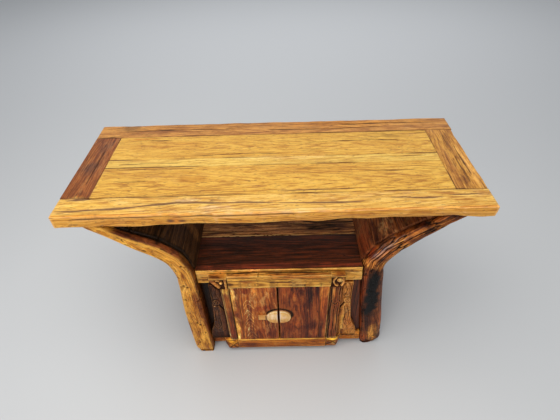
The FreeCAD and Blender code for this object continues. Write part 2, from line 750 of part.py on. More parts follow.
def make_corner_block(side):
    """The splayed block that a post, the bottom rail and a side rail are tenoned into."""
    corners = [(outward(side, "0"), "block_front"), (outward(side, "0"), "block_back"),
               (outward(side, "block_width"), "block_back"),
               (outward(side, "block_width"), "block_front + block_splay"),
               (outward(side, "block_width - block_splay"), "block_front")]
    body = profiled(f"block_{side}", "XY_Plane", corners, *RAIL_Z)
    far_side = stretch(side, "block_width - block_tenon_length", "block_width")
    holes = {"rail": (stretch(side, "0", "block_tenon_length"), STUB_Y, SIDE_TENON_Z),
             "side": (far_side, SIDE_TENON_Y, SIDE_TENON_Z),
             "post": (post_tenon_x(side), POST_TENON_Y, ("rail_top - post_tenon", "rail_top"))}
    mortises = [block(f"block_{side}_{name}_mortise", *(roomier(limits) for limits in hole))
                for name, hole in holes.items()]
    keep(f"corner_block_{side}", without(f"block_{side}_mortised", body, mortises))


def make_post(side):
    stock = block(f"post_{side}_stock", stretch(side, "0", f"post_{side}_width"),
                  ("centre_front", "post_back"), ("rail_top", "lintel_bottom"))
    tenons = block(f"post_{side}_tenons", post_tenon_x(side), POST_TENON_Y,
                   ("rail_top - post_tenon", "lintel_bottom + post_tenon"))
    keep(f"post_{side}", joined(f"post_{side}_whole", [stock, tenons]))


def make_capital(side):
    """The carved block beside the lintel, over a post, with its lower outer corner cut off."""
    width = f"capital_{side}_width"
    corners = [(outward(side, "0"), "lintel_bottom"), (outward(side, "0"), "lintel_top"),
               (outward(side, width), "lintel_top"),
               (outward(side, width), "lintel_bottom + 2 * capital_cove"),
               (outward(side, f"{width} - capital_cove"), "lintel_bottom")]
    body = profiled(f"capital_{side}_stock", "XZ_Plane", corners,
                    "centre_front - capital_proud", "shelf_front")
    holes = {"lintel": (stretch(side, "0", "lintel_tenon_length"), LINTEL_TENON_Y, LINTEL_TENON_Z),
             "post": (post_tenon_x(side), POST_TENON_Y, ("lintel_bottom", "lintel_bottom + post_tenon"))}
    mortises = [block(f"capital_{side}_{name}_mortise", *(roomier(limits) for limits in hole))
                for name, hole in holes.items()]
    keep(f"capital_{side}", without(f"capital_{side}_mortised", body, mortises))


def make_side_rail(side):
    """The short bottom rail between a corner block and a leg."""
    near = outward(side, "block_width")
    corners = [(near, "rail_bottom"), (leg_line(side, "rail_bottom"), "rail_bottom"),
               (leg_line(side, "rail_top"), "rail_top"), (near, "rail_top")]
    rail = profiled(f"side_rail_{side}_stock", "XZ_Plane", corners, *SIDE_RAIL_Y)
    tip = outward(side, "block_width - block_tenon_length")
    ends = (SIDE_TENON_ENDS[0], tip) if side == "left" else (tip, SIDE_TENON_ENDS[1])
    tenons = block(f"side_rail_{side}_tenons", ends, SIDE_TENON_Y, SIDE_TENON_Z)
    keep(f"side_rail_{side}", joined(f"side_rail_{side}_whole", [rail, tenons]))


def make_recess_panel(side):
    near = outward(side, "0")
    corners = [(near, "rail_top"), (leg_line(side, "rail_top"), "rail_top"),
               (leg_line(side, "shelf_rail_bottom"), "shelf_rail_bottom"), (near, "shelf_rail_bottom")]
    panel = profiled(f"recess_{side}", "XZ_Plane", corners, "recess_front", "recess_back")
    keep(f"recess_panel_{side}", panel)


def make_lintel_and_bottom_rail():
    """The rails over and under the doors, drilled for the leaves' pivots."""
    opening = ("opening_low_x", "opening_right")
    heights = {"high": ("lintel_bottom", "lintel_bottom + socket_depth"),
               "low": ("door_low - pivot_length - joint_clearance", "rail_top")}
    sockets = {level: [rod(f"socket_{level}_{side}", f"{side}_pivot", "door_middle", z,
                           "pivot_radius + pivot_clearance") for side in ("left", "right")]
               for level, z in heights.items()}
    lintel = block("lintel_stock", opening, ("centre_front", "lintel_back"), ("lintel_bottom", "lintel_top"))
    ends = ("opening_low_x - lintel_tenon_length", "opening_right + lintel_tenon_length")
    tenons = block("lintel_tenons", ends, LINTEL_TENON_Y, LINTEL_TENON_Z)
    keep("lintel", without("lintel_drilled", joined("lintel_whole", [lintel, tenons]), sockets["high"]))
    rail = block("bottom_rail_stock", opening, ("centre_front", "bottom_rail_back"), RAIL_Z)
    ends = ("opening_low_x - block_tenon_length", "opening_right + block_tenon_length")
    stubs = block("bottom_rail_tenons", ends, STUB_Y, SIDE_TENON_Z)
    keep("bottom_rail", without("bottom_rail_drilled", joined("bottom_rail_whole", [rail, stubs]),
                                sockets["low"]))


def make_front():
    for side in ("left", "right"):
        make_corner_block(side)
        make_post(side)
        make_capital(side)
        make_side_rail(side)
        make_recess_panel(side)
        make_carved_board(side)
    make_lintel_and_bottom_rail()


def make_carved_board(side):
    """A carved board beside a post, drawn in at its head and flared at its foot."""
    sign = -1 if side == "left" else 1
    inner = value_of(outward(side, f"post_{side}_width"))
    low, high = value_of("rail_top"), value_of("lintel_bottom")
    width, flare = value_of("carved_board_width"), value_of(f"carved_{side}_flare")
    front = value_of("carved_front")
    spots = [FreeCAD.Vector(inner + sign * (width + flare * out), front, low + (high - low) * up)
             for up, out in CARVED_EDGE_SHARES]
    outer = Part.BSplineCurve()
    outer.interpolate(spots)
    foot, head = FreeCAD.Vector(inner, front, low), FreeCAD.Vector(inner, front, high)
    wire = Part.Wire([outer.toShape(), Part.LineSegment(spots[-1], foot).toShape(),
                      Part.LineSegment(foot, head).toShape(), Part.LineSegment(head, spots[0]).toShape()])
    deep = FreeCAD.Vector(0, value_of("carved_board_thickness"), 0)
    shaped(f"carved_board_{side}", Part.Face(wire).extrude(deep))


def make_cupboard_body():
    left_inner, left_outer = "side_panel_inner", "side_panel_inner - side_panel_thickness"
    keep("cabinet_side_left", block("side_left", (left_outer, left_inner),
                                    ("left_leg_back + joint_clearance", "-left_leg_back - joint_clearance"),
                                    ("rail_bottom", "shelf_underside")))
    corners = []
    for height in ("rail_bottom", "shelf_underside"):
        inner = f"right_leg_from_middle - right_leg_lean * ({height}) / neck_height - panel_step"
        pair = [(inner, height), (f"{inner} + side_panel_thickness", height)]
        corners += pair if height == "rail_bottom" else pair[::-1]
    between_legs = ("right_leg_back + joint_clearance", "-right_leg_back - joint_clearance")
    keep("cabinet_side_right", profiled("side_right", "XZ_Plane", corners, *between_legs))
    left = "side_panel_inner + joint_clearance"
    right = "right_leg_from_middle - right_leg_lean * floor_top / neck_height - panel_step - joint_clearance"
    side_edge, middle_edge = "block_back + joint_clearance", "bottom_rail_back + joint_clearance"
    step_left, step_right = "opening_low_x + joint_clearance", "opening_right - joint_clearance"
    back = "-side_rail_back - joint_clearance"
    corners = [(left, side_edge), (step_left, side_edge), (step_left, middle_edge),
               (step_right, middle_edge), (step_right, side_edge), (right, side_edge),
               (right, back), (left, back)]
    keep("cabinet_floor", profiled("floor_board", "XY_Plane", corners, "floor_bottom", "floor_top"))
    cleats = []
    cleat_z = ("floor_bottom - cleat_height", "floor_bottom")
    for side, x in (("left", (left, f"{left} + cleat_width")), ("right", (f"{right} - cleat_width", right))):
        cleats.append(block(f"cleat_{side}", x, (side_edge, back), cleat_z))
    keep("floor_cleats", joined("cleats", cleats))
    rail = profiled("back_rail_stock", "XZ_Plane", across_legs("rail_bottom", "rail_top"),
                    *behind(SIDE_RAIL_Y))
    tenons = block("back_rail_tenons", SIDE_TENON_ENDS, behind(SIDE_TENON_Y), SIDE_TENON_Z)
    keep("back_bottom_rail", joined("back_rail_whole", [rail, tenons]))
    split = "back_board_split"
    depth = behind(("recess_front", "recess_back"))
    for name, low, high in (("lower", "rail_top", split), ("upper", split, "shelf_rail_bottom")):
        keep(f"back_board_{name}", profiled(f"back_{name}", "XZ_Plane", across_legs(low, high), *depth))
    strip_x = ("opening_low_x + stop_strip_inset", "opening_right - stop_strip_inset")
    keep("door_stop_strip", block("stop_strip", strip_x,
                                  ("lintel_back", "lintel_back + stop_strip_thickness"),
                                  ("shelf_rail_bottom - stop_strip_height", "shelf_rail_bottom")))


def make_doors():
    leaf_y, leaf_z = ("door_front", "door_back"), ("door_low", "door_high")
    stop_start = "bolt_tail + stop_from_tail"
    groove = block("bolt_stop_groove", roomier((stop_start, f"{stop_start} + stop_width + bolt_travel")),
                   ("door_front", "door_front + stop_height + joint_clearance"),
                   roomier(("keeper_height - stop_tall / 2", "keeper_height + stop_tall / 2")))
    for side, sign in (("left", "1"), ("right", "-1")):
        joint = f"{side}_leaf_outer + ({sign}) * {side}_stile_width"
        inner = f"{side}_leaf_inner"

        def ordered(near, far, sign=sign):
            return (near, far) if sign == "1" else (far, near)
        stile = joined(f"stile_{side}", [
            block(f"stile_{side}_stock", ordered(f"{side}_pivot", joint), leaf_y, leaf_z),
            rod(f"stile_{side}_edge", f"{side}_pivot", "door_middle", leaf_z, "door_thickness / 2"),
            rod(f"stile_{side}_pivots", f"{side}_pivot", "door_middle",
                ("door_low - pivot_length", "door_high + pivot_length"), "pivot_radius")])
        keep(f"door_{side}_stile", stile)
        board = block(f"board_{side}_stock", ordered(joint, inner), leaf_y, leaf_z)
        if side == "left":
            board = without("board_left_grooved", board, [groove])
        keep(f"door_{side}_board", board)
        batten_x = ordered(f"{side}_leaf_outer + ({sign}) * door_batten_inset",
                           f"{inner} - ({sign}) * door_batten_inset")
        batten_y = ("door_back", "door_back + door_batten_thickness")
        heights = {"low": ("door_low + door_batten_from_end",
                           "door_low + door_batten_from_end + door_batten_height"),
                   "high": ("door_high - door_batten_from_end - door_batten_height",
                            "door_high - door_batten_from_end")}
        battens = [block(f"batten_{level}_{side}", batten_x, batten_y, z) for level, z in heights.items()]
        keep(f"door_{side}_battens", joined(f"battens_{side}", battens))


def domed_keeper(side):
    """Half of a round grip on the face of a leaf, padded from an arc and domed by a sphere."""
    sign = -1 if side == "left" else 1
    body = doc.addObject("PartDesign::Body", f"keeper_{side}_stock")
    sketch = body.newObject("Sketcher::SketchObject", f"keeper_{side}_profile")
    attach(body, sketch, "XZ_Plane")
    middle = FreeCAD.Vector(value_of(f"{side}_keeper_inner"), value_of("keeper_height"), 0)
    half_tall = FreeCAD.Vector(0, value_of("keeper_tall") / 2, 0)
    reach = FreeCAD.Vector(value_of("keeper_width") * sign, 0, 0)
    sketch.addGeometry(Part.Arc(middle + half_tall, middle + reach, middle - half_tall), False)
    sketch.addGeometry(Part.LineSegment(middle - half_tall, middle + half_tall), False)
    sketch.setExpression("AttachmentOffset.Base.z", spelled("-(door_front)"))
    pad = body.newObject("PartDesign::Pad", f"keeper_{side}_pad")
    pad.Profile = sketch
    pad.setExpression("Length", spelled("keeper_thickness"))
    body.Tip = pad
    ball = doc.addObject("Part::Sphere", f"keeper_{side}_ball")
    ball.setExpression("Radius", spelled("dome_radius"))
    centre = {"x": f"{side}_keeper_inner + ({sign}) * (keeper_width - keeper_radius)",
              "y": "door_front - keeper_thickness + dome_radius",
              "z": "keeper_height"}
    for axis, words in centre.items():
        ball.setExpression(f"Placement.Base.{axis}", spelled(words))
    domed = doc.addObject("Part::MultiCommon", f"keeper_{side}_domed")
    domed.Shapes = [body, ball]
    return domed


def make_lock():
    channel_y = ("bolt_front - bolt_clearance", "door_front")
    channel_z = ("bolt_low - bolt_clearance", "bolt_high + bolt_clearance")
    left_end, right_end = "left_keeper_inner - keeper_width", "right_keeper_inner + socket_length"
    channels = {"left": (f"{left_end} - cut_overrun", "left_keeper_inner + cut_overrun"),
                "right": ("right_keeper_inner - cut_overrun", right_end)}
    for side, x in channels.items():
        channel = block(f"channel_{side}", x, channel_y, channel_z)
        keep(f"keeper_{side}", without(f"keeper_{side}_cut", domed_keeper(side), [channel]))
    bar = block("bolt_bar", ("bolt_tail", "bolt_tip"), ("bolt_front", "bolt_back"),
                ("bolt_low", "bolt_high"))
    stop = block("bolt_stop", ("bolt_tail + stop_from_tail", "bolt_tail + stop_from_tail + stop_width"),
                 ("bolt_back", "door_front + stop_height"),
                 ("keeper_height - stop_tall / 2", "keeper_height + stop_tall / 2"))
    keep("latch_bolt", joined("bolt", [bar, stop]))


def write_parts():
    doc.recompute()
    for item in doc.Objects:
        if {"Invalid", "Error"} & set(item.State):
            raise RuntimeError(f"{item.Name} failed to build")
    os.makedirs("parts", exist_ok=True)
    for piece in pieces:
        shape = piece.Shape
        if shape.isNull() or not shape.isValid():
            raise RuntimeError(f"{piece.Label} has no sound shape")
        shape.exportStep(f"parts/{piece.Label}.step")
        box = shape.BoundBox
        print(f"{piece.Label}: {len(shape.Solids)} solid(s), x {box.XMin:.1f} to {box.XMax:.1f}, "
              f"y {box.YMin:.1f} to {box.YMax:.1f}, z {box.ZMin:.1f} to {box.ZMax:.1f}")
    print(f"{len(pieces)} sub-parts written")


fill_sheet()
make_legs_and_walls()
make_frame_of_top()
make_field_of_top()
make_shelf()
make_front()
make_cupboard_body()
make_doors()
make_lock()
write_parts()
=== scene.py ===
# %% [markdown]
# # An altar table of old timber
# The real table is a framed plank top on four naturally bent branches, with an open shelf between
# them and a small cupboard under the shelf. Its structure, sizes and moving doors come from the
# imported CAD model. Everything the eye enjoys is made here: waney edges, cracks, worn arrises,
# carving, and the figure and wax of old wood.

# %% Load the frame
import json
import math

import bmesh
import bpy
import numpy as np
from mathutils import Matrix, Vector


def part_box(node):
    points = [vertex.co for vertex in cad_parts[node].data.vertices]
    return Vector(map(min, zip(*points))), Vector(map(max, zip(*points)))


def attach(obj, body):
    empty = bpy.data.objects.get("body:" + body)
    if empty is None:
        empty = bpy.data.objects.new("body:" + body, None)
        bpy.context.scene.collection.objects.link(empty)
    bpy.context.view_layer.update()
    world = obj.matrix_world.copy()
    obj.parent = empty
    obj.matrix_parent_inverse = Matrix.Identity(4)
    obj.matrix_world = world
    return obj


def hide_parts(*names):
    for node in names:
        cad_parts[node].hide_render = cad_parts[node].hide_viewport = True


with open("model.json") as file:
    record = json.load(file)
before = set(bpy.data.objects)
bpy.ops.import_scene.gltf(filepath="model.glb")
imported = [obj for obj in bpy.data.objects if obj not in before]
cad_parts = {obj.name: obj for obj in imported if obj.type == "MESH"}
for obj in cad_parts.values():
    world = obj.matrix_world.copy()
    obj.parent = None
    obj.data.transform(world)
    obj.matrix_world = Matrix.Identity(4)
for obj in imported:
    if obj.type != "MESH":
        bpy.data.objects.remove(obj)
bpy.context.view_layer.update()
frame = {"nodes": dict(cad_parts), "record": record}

nodes = frame["nodes"]
bodies = frame["record"]["behaviour"]["bodies"]
body_of = {node: body for body, members in bodies.items() for node in members}

# %% [markdown]
# ## The camera
# The photograph was taken from standing height, looking down at the table. A camera can be set by
# eye, but the plank corners, the feet and the doors give enough known points to solve for it. What
# the solution says is kept here as a place, three angles and a focal length in pixels.

# %% Camera
PHOTO_WIDTH = 560
FOCAL_PIXELS = 394.96
CAMERA_PLACE = Vector((0.040, -1.173, 1.695))
YAW, PITCH, ROLL = (math.radians(angle) for angle in (-1.017, 42.26, -2.062))
SENSOR = 36


def camera_turn(yaw, pitch, roll):
    """Axes of a camera that looks along +Y, turned about Z, tilted down and rolled."""
    ahead = Vector((math.sin(yaw), math.cos(yaw), 0))
    right = Vector((math.cos(yaw), -math.sin(yaw), 0))
    view = ahead * math.cos(pitch) - Vector((0, 0, 1)) * math.sin(pitch)
    up = Vector((0, 0, 1)) * math.cos(pitch) + ahead * math.sin(pitch)
    side = right * math.cos(roll) + up * math.sin(roll)
    top = up * math.cos(roll) - right * math.sin(roll)
    return Matrix((side, top, -view)).transposed()


camera = bpy.data.objects.new("camera", bpy.data.cameras.new("camera"))
camera.data.sensor_width = SENSOR
camera.data.lens = FOCAL_PIXELS / PHOTO_WIDTH * SENSOR
camera.matrix_world = Matrix.Translation(CAMERA_PLACE) @ camera_turn(YAW, PITCH, ROLL).to_4x4()
bpy.context.scene.collection.objects.link(camera)
bpy.context.scene.camera = camera
print("lens", round(camera.data.lens, 2), "mm")

# %% [markdown]
# ## The studio
# A large soft light overhead gives the top its even glow and leaves the niche under it dark, as in
# the photograph. A second, weaker one from the front keeps the carving readable. The floor is plain
# and pale, and the colours are shown without a film curve, so that the gold of the wood stays gold.

# %% Floor, lights and world
FLOOR_SIZE = 14.0
scene = bpy.context.scene
scene.view_settings.view_transform = "Standard"


def area_light(name, place, aim, size, power, colour):
    light = bpy.data.lights.new(name, "AREA")
    light.shape = "RECTANGLE"
    light.size, light.size_y = size
    light.energy = power
    light.color = colour
    lamp = bpy.data.objects.new(name, light)
    lamp.location = place
    lamp.rotation_euler = (Vector(aim) - Vector(place)).to_track_quat("-Z", "Y").to_euler()
    scene.collection.objects.link(lamp)


area_light("overhead", (-0.3, -0.6, 3.2), (0, 0, 0.6), (3.0, 2.2), 70, (1.0, 0.98, 0.94))
area_light("front", (-1.2, -3.4, 2.4), (0, 0, 0.4), (2.2, 1.6), 50, (1.0, 0.98, 0.95))
area_light("far_floor", (0, 4.2, 3.4), (0, 4.4, 0), (7.0, 2.5), 95, (0.97, 0.98, 1.0))

world = bpy.data.worlds.new("studio")
world.use_nodes = True
world.node_tree.nodes["Background"].inputs["Color"].default_value = (0.86, 0.9, 0.95, 1)
world.node_tree.nodes["Background"].inputs["Strength"].default_value = 0.34
scene.world = world

floor_mesh = bmesh.new()
bmesh.ops.create_grid(floor_mesh, x_segments=1, y_segments=1, size=FLOOR_SIZE / 2)
floor_data = bpy.data.meshes.new("floor")
floor_mesh.to_mesh(floor_data)
floor_mesh.free()
floor = bpy.data.objects.new("floor", floor_data)
scene.collection.objects.link(floor)
floor_paint = bpy.data.materials.new("floor_paint")
floor_paint.use_nodes = True
floor_paint.node_tree.nodes["Principled BSDF"].inputs["Base Color"].default_value = (0.62, 0.63, 0.64, 1)
floor_paint.node_tree.nodes["Principled BSDF"].inputs["Roughness"].default_value = 0.7
floor_data.materials.append(floor_paint)
print("studio ready")

# %% [markdown]
# ## Node helpers
# Every wood on this table is the same idea with other colours, so the figure of the timber is built
# once as a shader node group. A few small helpers keep the node code short: one adds a node and
# fills its sockets with values or wires, one opens a group with named inputs and outputs, and the
# others are nodes that are used often.

# %% Helpers for nodes
def add(tree, kind, sockets=None, **settings):
    """Add a node, set its properties, and fill its inputs with values or with other nodes' outputs."""
    made = tree.nodes.new("ShaderNode" + kind)
    for name, value in settings.items():
        setattr(made, name, value)
    for key, value in (sockets or {}).items():
        if isinstance(value, bpy.types.NodeSocket):
            tree.links.new(value, made.inputs[key])
        else:
            made.inputs[key].default_value = value
    return made


def math_node(tree, operation, *values):
    return add(tree, "Math", dict(enumerate(values)), operation=operation).outputs[0]


def blended(tree, share, first, second, kind="MIX"):
    """Mix two colours; the Mix node keeps its colour sockets at 6 and 7 and their result at 2."""
    return add(tree, "Mix", {0: share, 6: first, 7: second}, data_type="RGBA", blend_type=kind).outputs[2]


def ramped(tree, value, low, high):
    """Ease a value from 0 at low to 1 at high."""
    sockets = {"Value": value, "From Min": low, "From Max": high}
    return add(tree, "MapRange", sockets, interpolation_type="SMOOTHSTEP").outputs["Result"]


def open_group(name, inputs, outputs):
    """Start a node group; inputs and outputs map socket names to their default value or kind."""
    tree = bpy.data.node_groups.new(name, "ShaderNodeTree")
    kinds = {float: "NodeSocketFloat", tuple: "NodeSocketColor", Vector: "NodeSocketVector"}
    for way, table in (("INPUT", inputs), ("OUTPUT", outputs)):
        for label, value in table.items():
            socket = tree.interface.new_socket(label, in_out=way, socket_type=kinds[type(value)])
            if way == "INPUT":
                socket.default_value = value
    return tree, tree.nodes.new("NodeGroupInput").outputs, tree.nodes.new("NodeGroupOutput").inputs


# %% [markdown]
# ## The figure of the timber
# Wood is a bundle of long fibres, so every pattern in it is stretched along one direction. Each
# piece carries its own grain coordinates as a vector attribute: x runs along the fibres, even round
# a bent branch, y runs across them, and z is the distance from the heart of the tree. Growth rings
# are even steps of that distance. A plank cut from a tapering trunk crosses them at a slant, and
# that is what draws flames on it. Stretched noise gives streaks and pores, and the places where
# another noise crosses its middle give long splits.

# %% Group: wood figure
def wood_figure():
    group, given, result = open_group(
        "wood figure",
        {"Place": Vector((0, 0, 0)), "Rings": 160.0, "Streak width": 55.0, "Splits": 0.5},
        dict.fromkeys(("Streaks", "Fibres", "Figure", "Patches", "Mottle", "Fissures", "Pores", "Specks"),
                      0.0))
    place = given["Place"]

    def stretched(along, across):
        sockets = {0: place, 1: (along, across, across)}
        return add(group, "VectorMath", sockets, operation="MULTIPLY").outputs[0]

    def noise_of(vector, detail, roughness=0.55):
        return add(group, "TexNoise", {"Vector": vector, "Scale": 1.0, "Detail": detail,
                                       "Roughness": roughness}).outputs[0]
    widths = add(group, "CombineXYZ", {"X": 2.4, "Y": given["Streak width"], "Z": given["Streak width"]})
    streak_place = add(group, "VectorMath", {0: place, 1: widths.outputs[0]}, operation="MULTIPLY")
    streaks = noise_of(streak_place.outputs[0], 5.0, 0.6)
    fibres = noise_of(stretched(10.0, 250.0), 3.0, 0.65)
    radius = add(group, "SeparateXYZ", {0: place}).outputs["Z"]
    wobble = math_node(group, "MULTIPLY", noise_of(stretched(5.0, 30.0), 3.0), 1.6)
    ring = math_node(group, "FRACT", math_node(group, "MULTIPLY_ADD", radius, given["Rings"], wobble))
    late = math_node(group, "MULTIPLY", ramped(group, ring, 0.3, 0.9), ramped(group, ring, 0.0, 0.12))
    figure = math_node(group, "SUBTRACT", 1.0, late)
    patches = noise_of(stretched(3.0, 9.0), 3.0)
    mottle = noise_of(stretched(14.0, 32.0), 5.0, 0.68)
    centred = math_node(group, "SUBTRACT", noise_of(stretched(1.5, 34.0), 3.0), 0.5)
    crossing = math_node(group, "ABSOLUTE", centred)
    line = math_node(group, "SUBTRACT", 1.0, ramped(group, crossing, 0.0, 0.014))
    reach = ramped(group, noise_of(stretched(2.2, 9.0), 1.0), 0.56, 0.66)
    fissures = math_node(group, "MULTIPLY", math_node(group, "MULTIPLY", line, reach), given["Splits"])
    pores = ramped(group, noise_of(stretched(48.0, 330.0), 1.0), 0.6, 0.7)
    specks = ramped(group, noise_of(stretched(55.0, 190.0), 2.0), 0.6, 0.68)
    for label, socket in (("Streaks", streaks), ("Fibres", fibres), ("Figure", figure), ("Patches", patches),
                          ("Mottle", mottle), ("Fissures", fissures), ("Pores", pores), ("Specks", specks)):
        group.links.new(socket, result[label])
    return group


FIGURE = wood_figure()

# %% [markdown]
# ## Age and wax
# Old waxed wood is lighter where hands have worn it and dark where dirt and polish settle. The mesh
# tells the shader where that is: a wear attribute marks arrises, a dirt attribute marks cracks and
# the ground of the carving and also carries painted shade in hollows and gaps, and a paint attribute
# tints patches: some are the wood's own colour, others painted highlights and painted shade.

# %% Group: aged colour
def aged_colour():
    colour = (0.5, 0.5, 0.5, 1.0)
    group, given, result = open_group(
        "aged colour",
        {"Light": colour, "Middle": colour, "Dark": colour, "Split colour": colour, "Worn colour": colour,
         "Paint": colour, "Streaks": 0.5, "Fibres": 0.5, "Figure": 0.5, "Patches": 0.5, "Mottle": 0.5,
         "Fissures": 0.0, "Pores": 0.0, "Specks": 0.0, "Wear": 0.0, "Dirt": 0.0, "Streak share": 1.0,
         "Figure share": 0.3, "Patch share": 0.3, "Fibre share": 0.5, "Mottle share": 0.3, "Speck share": 0.3,
         "Bloom share": 0.2},
        {"Color": colour, "Roughness": 0.0, "Height": 0.0})
    tone = 0.5
    for name, source in (("Streak", "Streaks"), ("Figure", "Figure"), ("Patch", "Patches"),
                         ("Fibre", "Fibres")):
        centred = math_node(group, "SUBTRACT", given[source], 0.5)
        tone = math_node(group, "MULTIPLY_ADD", centred, given[f"{name} share"], tone)
    base = blended(group, ramped(group, tone, 0.3, 0.5), given["Dark"], given["Middle"])
    base = blended(group, ramped(group, tone, 0.46, 0.68), base, given["Light"])
    base = blended(group, math_node(group, "MULTIPLY", given["Pores"], 0.45), base, given["Dark"])
    blotch = math_node(group, "MULTIPLY", ramped(group, given["Mottle"], 0.5, 0.68), given["Mottle share"])
    base = blended(group, blotch, base, given["Dark"])
    bloom = math_node(group, "SUBTRACT", 1.0, ramped(group, given["Mottle"], 0.34, 0.47))
    bloom = math_node(group, "MULTIPLY", bloom, given["Bloom share"])
    base = blended(group, bloom, base, given["Worn colour"])
    specks = math_node(group, "MULTIPLY", given["Specks"], given["Speck share"])
    base = blended(group, specks, base, given["Split colour"])
    worn = math_node(group, "MULTIPLY", given["Wear"], ramped(group, given["Patches"], 0.3, 0.6))
    base = blended(group, worn, base, given["Worn colour"])
    base = blended(group, 1.0, base, given["Paint"], "MULTIPLY")
    # Dirt holds real dirt and painted shade; both darken towards the split colour.
    sunk = math_node(group, "MAXIMUM", given["Fissures"], given["Dirt"])
    base = blended(group, sunk, base, given["Split colour"])
    rough = math_node(group, "MULTIPLY_ADD", given["Streaks"], 0.22, 0.36)
    rough = math_node(group, "MULTIPLY_ADD", sunk, 0.35, rough)
    height = given["Streaks"]
    for name, rise in (("Figure", 0.12), ("Fibres", 0.5), ("Mottle", 0.4), ("Pores", -0.35), ("Specks", -0.5),
                       ("Fissures", -1.6)):
        height = math_node(group, "MULTIPLY_ADD", given[name], rise, height)
    for label, socket in (("Color", base), ("Roughness", rough), ("Height", height)):
        group.links.new(socket, result[label])
    return group


AGED = aged_colour()

# %% [markdown]
# ## One material per finish
# The groups are placed in each material with its own colours and strengths. The Principled shader
# and the Bump node stay in the material. Colours are chosen in linear values, light to dark.

# %% The woods
WOODS = {}
SHARES = {"streak": 1.0, "figure": 0.12, "patch": 0.3, "fibre": 0.45, "mottle": 0.3, "speck": 0.4,
          "bloom": 0.15}


def old_wood(name, light, middle, dark, split=(0.02, 0.011, 0.006), worn=(0.62, 0.36, 0.13), rings=160.0,
             width=55.0, splits=0.6, relief=0.0009, coat=0.03, **shares):
    """Make one finish. The shares say how strongly each pattern shows in it."""
    material = bpy.data.materials.new(name)
    material.use_nodes = True
    tree = material.node_tree
    figured = add(tree, "Group", node_tree=FIGURE)
    aged = add(tree, "Group", node_tree=AGED)
    for key, value in (("Rings", rings), ("Streak width", width), ("Splits", splits)):
        figured.inputs[key].default_value = value
    place = add(tree, "Attribute", attribute_name="grain").outputs["Vector"]
    tree.links.new(place, figured.inputs["Place"])
    for socket in figured.outputs:
        tree.links.new(socket, aged.inputs[socket.name])
    for key, value in (("Light", light), ("Middle", middle), ("Dark", dark), ("Split colour", split),
                       ("Worn colour", worn)):
        aged.inputs[key].default_value = (*value, 1.0)
    for key, value in {**SHARES, **shares}.items():
        aged.inputs[f"{key.title()} share"].default_value = value
    for key, output in (("Wear", "Fac"), ("Dirt", "Fac"), ("Paint", "Color")):
        written = add(tree, "Attribute", attribute_name=key.lower())
        tree.links.new(written.outputs[output], aged.inputs[key])
    shader = tree.nodes["Principled BSDF"]
    bump = add(tree, "Bump", {"Height": aged.outputs["Height"], "Distance": relief, "Strength": 1.0})
    for socket, key in ((aged.outputs["Color"], "Base Color"), (aged.outputs["Roughness"], "Roughness"),
                        (bump.outputs["Normal"], "Normal")):
        tree.links.new(socket, shader.inputs[key])
    for key, value in (("Specular IOR Level", 0.14), ("Coat Weight", coat), ("Coat Roughness", 0.3)):
        shader.inputs[key].default_value = value
    WOODS[name] = material


old_wood("honey_field", (0.75, 0.44, 0.075), (0.63, 0.325, 0.045), (0.38, 0.16, 0.025),
         split=(0.13, 0.055, 0.02), width=42.0, coat=0.1, streak=0.4, fibre=1.25, mottle=0.3,
         speck=0.5)
old_wood("pale_strip", (0.80, 0.55, 0.13), (0.68, 0.40, 0.07), (0.44, 0.21, 0.04),
         split=(0.13, 0.055, 0.02), width=60.0, coat=0.1, streak=0.6, fibre=1.1)
old_wood("front_plank", (0.80, 0.50, 0.12), (0.66, 0.355, 0.06), (0.42, 0.18, 0.035),
         split=(0.19, 0.095, 0.04), splits=0.8, width=34.0, worn=(0.9, 0.62, 0.3), streak=0.45,
         fibre=1.25, coat=0.1, speck=0.5)
old_wood("russet_plank", (0.62, 0.29, 0.066), (0.46, 0.19, 0.04), (0.24, 0.085, 0.02),
         split=(0.07, 0.03, 0.014), splits=0.8, width=50.0, streak=0.6, fibre=1.1, mottle=0.5,
         coat=0.08)
old_wood("chestnut_end", (0.34, 0.11, 0.026), (0.235, 0.064, 0.014), (0.11, 0.029, 0.008),
         split=(0.05, 0.018, 0.008), width=60.0, streak=0.6, fibre=1.1, mottle=0.5, coat=0.08)
old_wood("branch_gold", (0.90, 0.43, 0.06), (0.61, 0.215, 0.02), (0.25, 0.062, 0.007),
         split=(0.05, 0.016, 0.005), width=38.0, worn=(0.9, 0.5, 0.1), fibre=0.7, patch=0.6,
         mottle=0.7, relief=0.0022, speck=0.6, bloom=0.35)
old_wood("branch_red", (0.31, 0.082, 0.016), (0.15, 0.031, 0.006), (0.045, 0.010, 0.0028),
         split=(0.006, 0.003, 0.002), width=46.0, splits=1.0, patch=0.5, fibre=0.7, mottle=0.6,
         worn=(0.45, 0.18, 0.045), relief=0.0024, speck=0.5)
old_wood("wall_dark", (0.15, 0.065, 0.023), (0.063, 0.026, 0.009), (0.020, 0.009, 0.004),
         worn=(0.14, 0.06, 0.02), width=90.0, fibre=0.9, coat=0.0, relief=0.002)
old_wood("wall_red", (0.30, 0.09, 0.026), (0.145, 0.038, 0.012), (0.05, 0.012, 0.004), width=60.0,
         patch=0.8, fibre=0.8, mottle=0.7, coat=0.0, relief=0.002)
old_wood("shelf_red", (0.15, 0.032, 0.010), (0.058, 0.015, 0.006), (0.020, 0.007, 0.003),
         worn=(0.2, 0.05, 0.015), width=110.0, figure=0.05, fibre=0.7, coat=0.08)
old_wood("shelf_rough", (0.66, 0.29, 0.09), (0.27, 0.092, 0.025), (0.06, 0.018, 0.006), splits=1.0,
         width=110.0, fibre=0.9, mottle=0.6, worn=(0.7, 0.4, 0.14), relief=0.0025, coat=0.0, speck=0.6)
old_wood("olive_gold", (0.88, 0.44, 0.068), (0.64, 0.26, 0.034), (0.19, 0.06, 0.01), splits=1.0,
         width=90.0, fibre=1.2, mottle=0.6, worn=(0.9, 0.55, 0.15), relief=0.0018, speck=0.6,
         bloom=0.35)
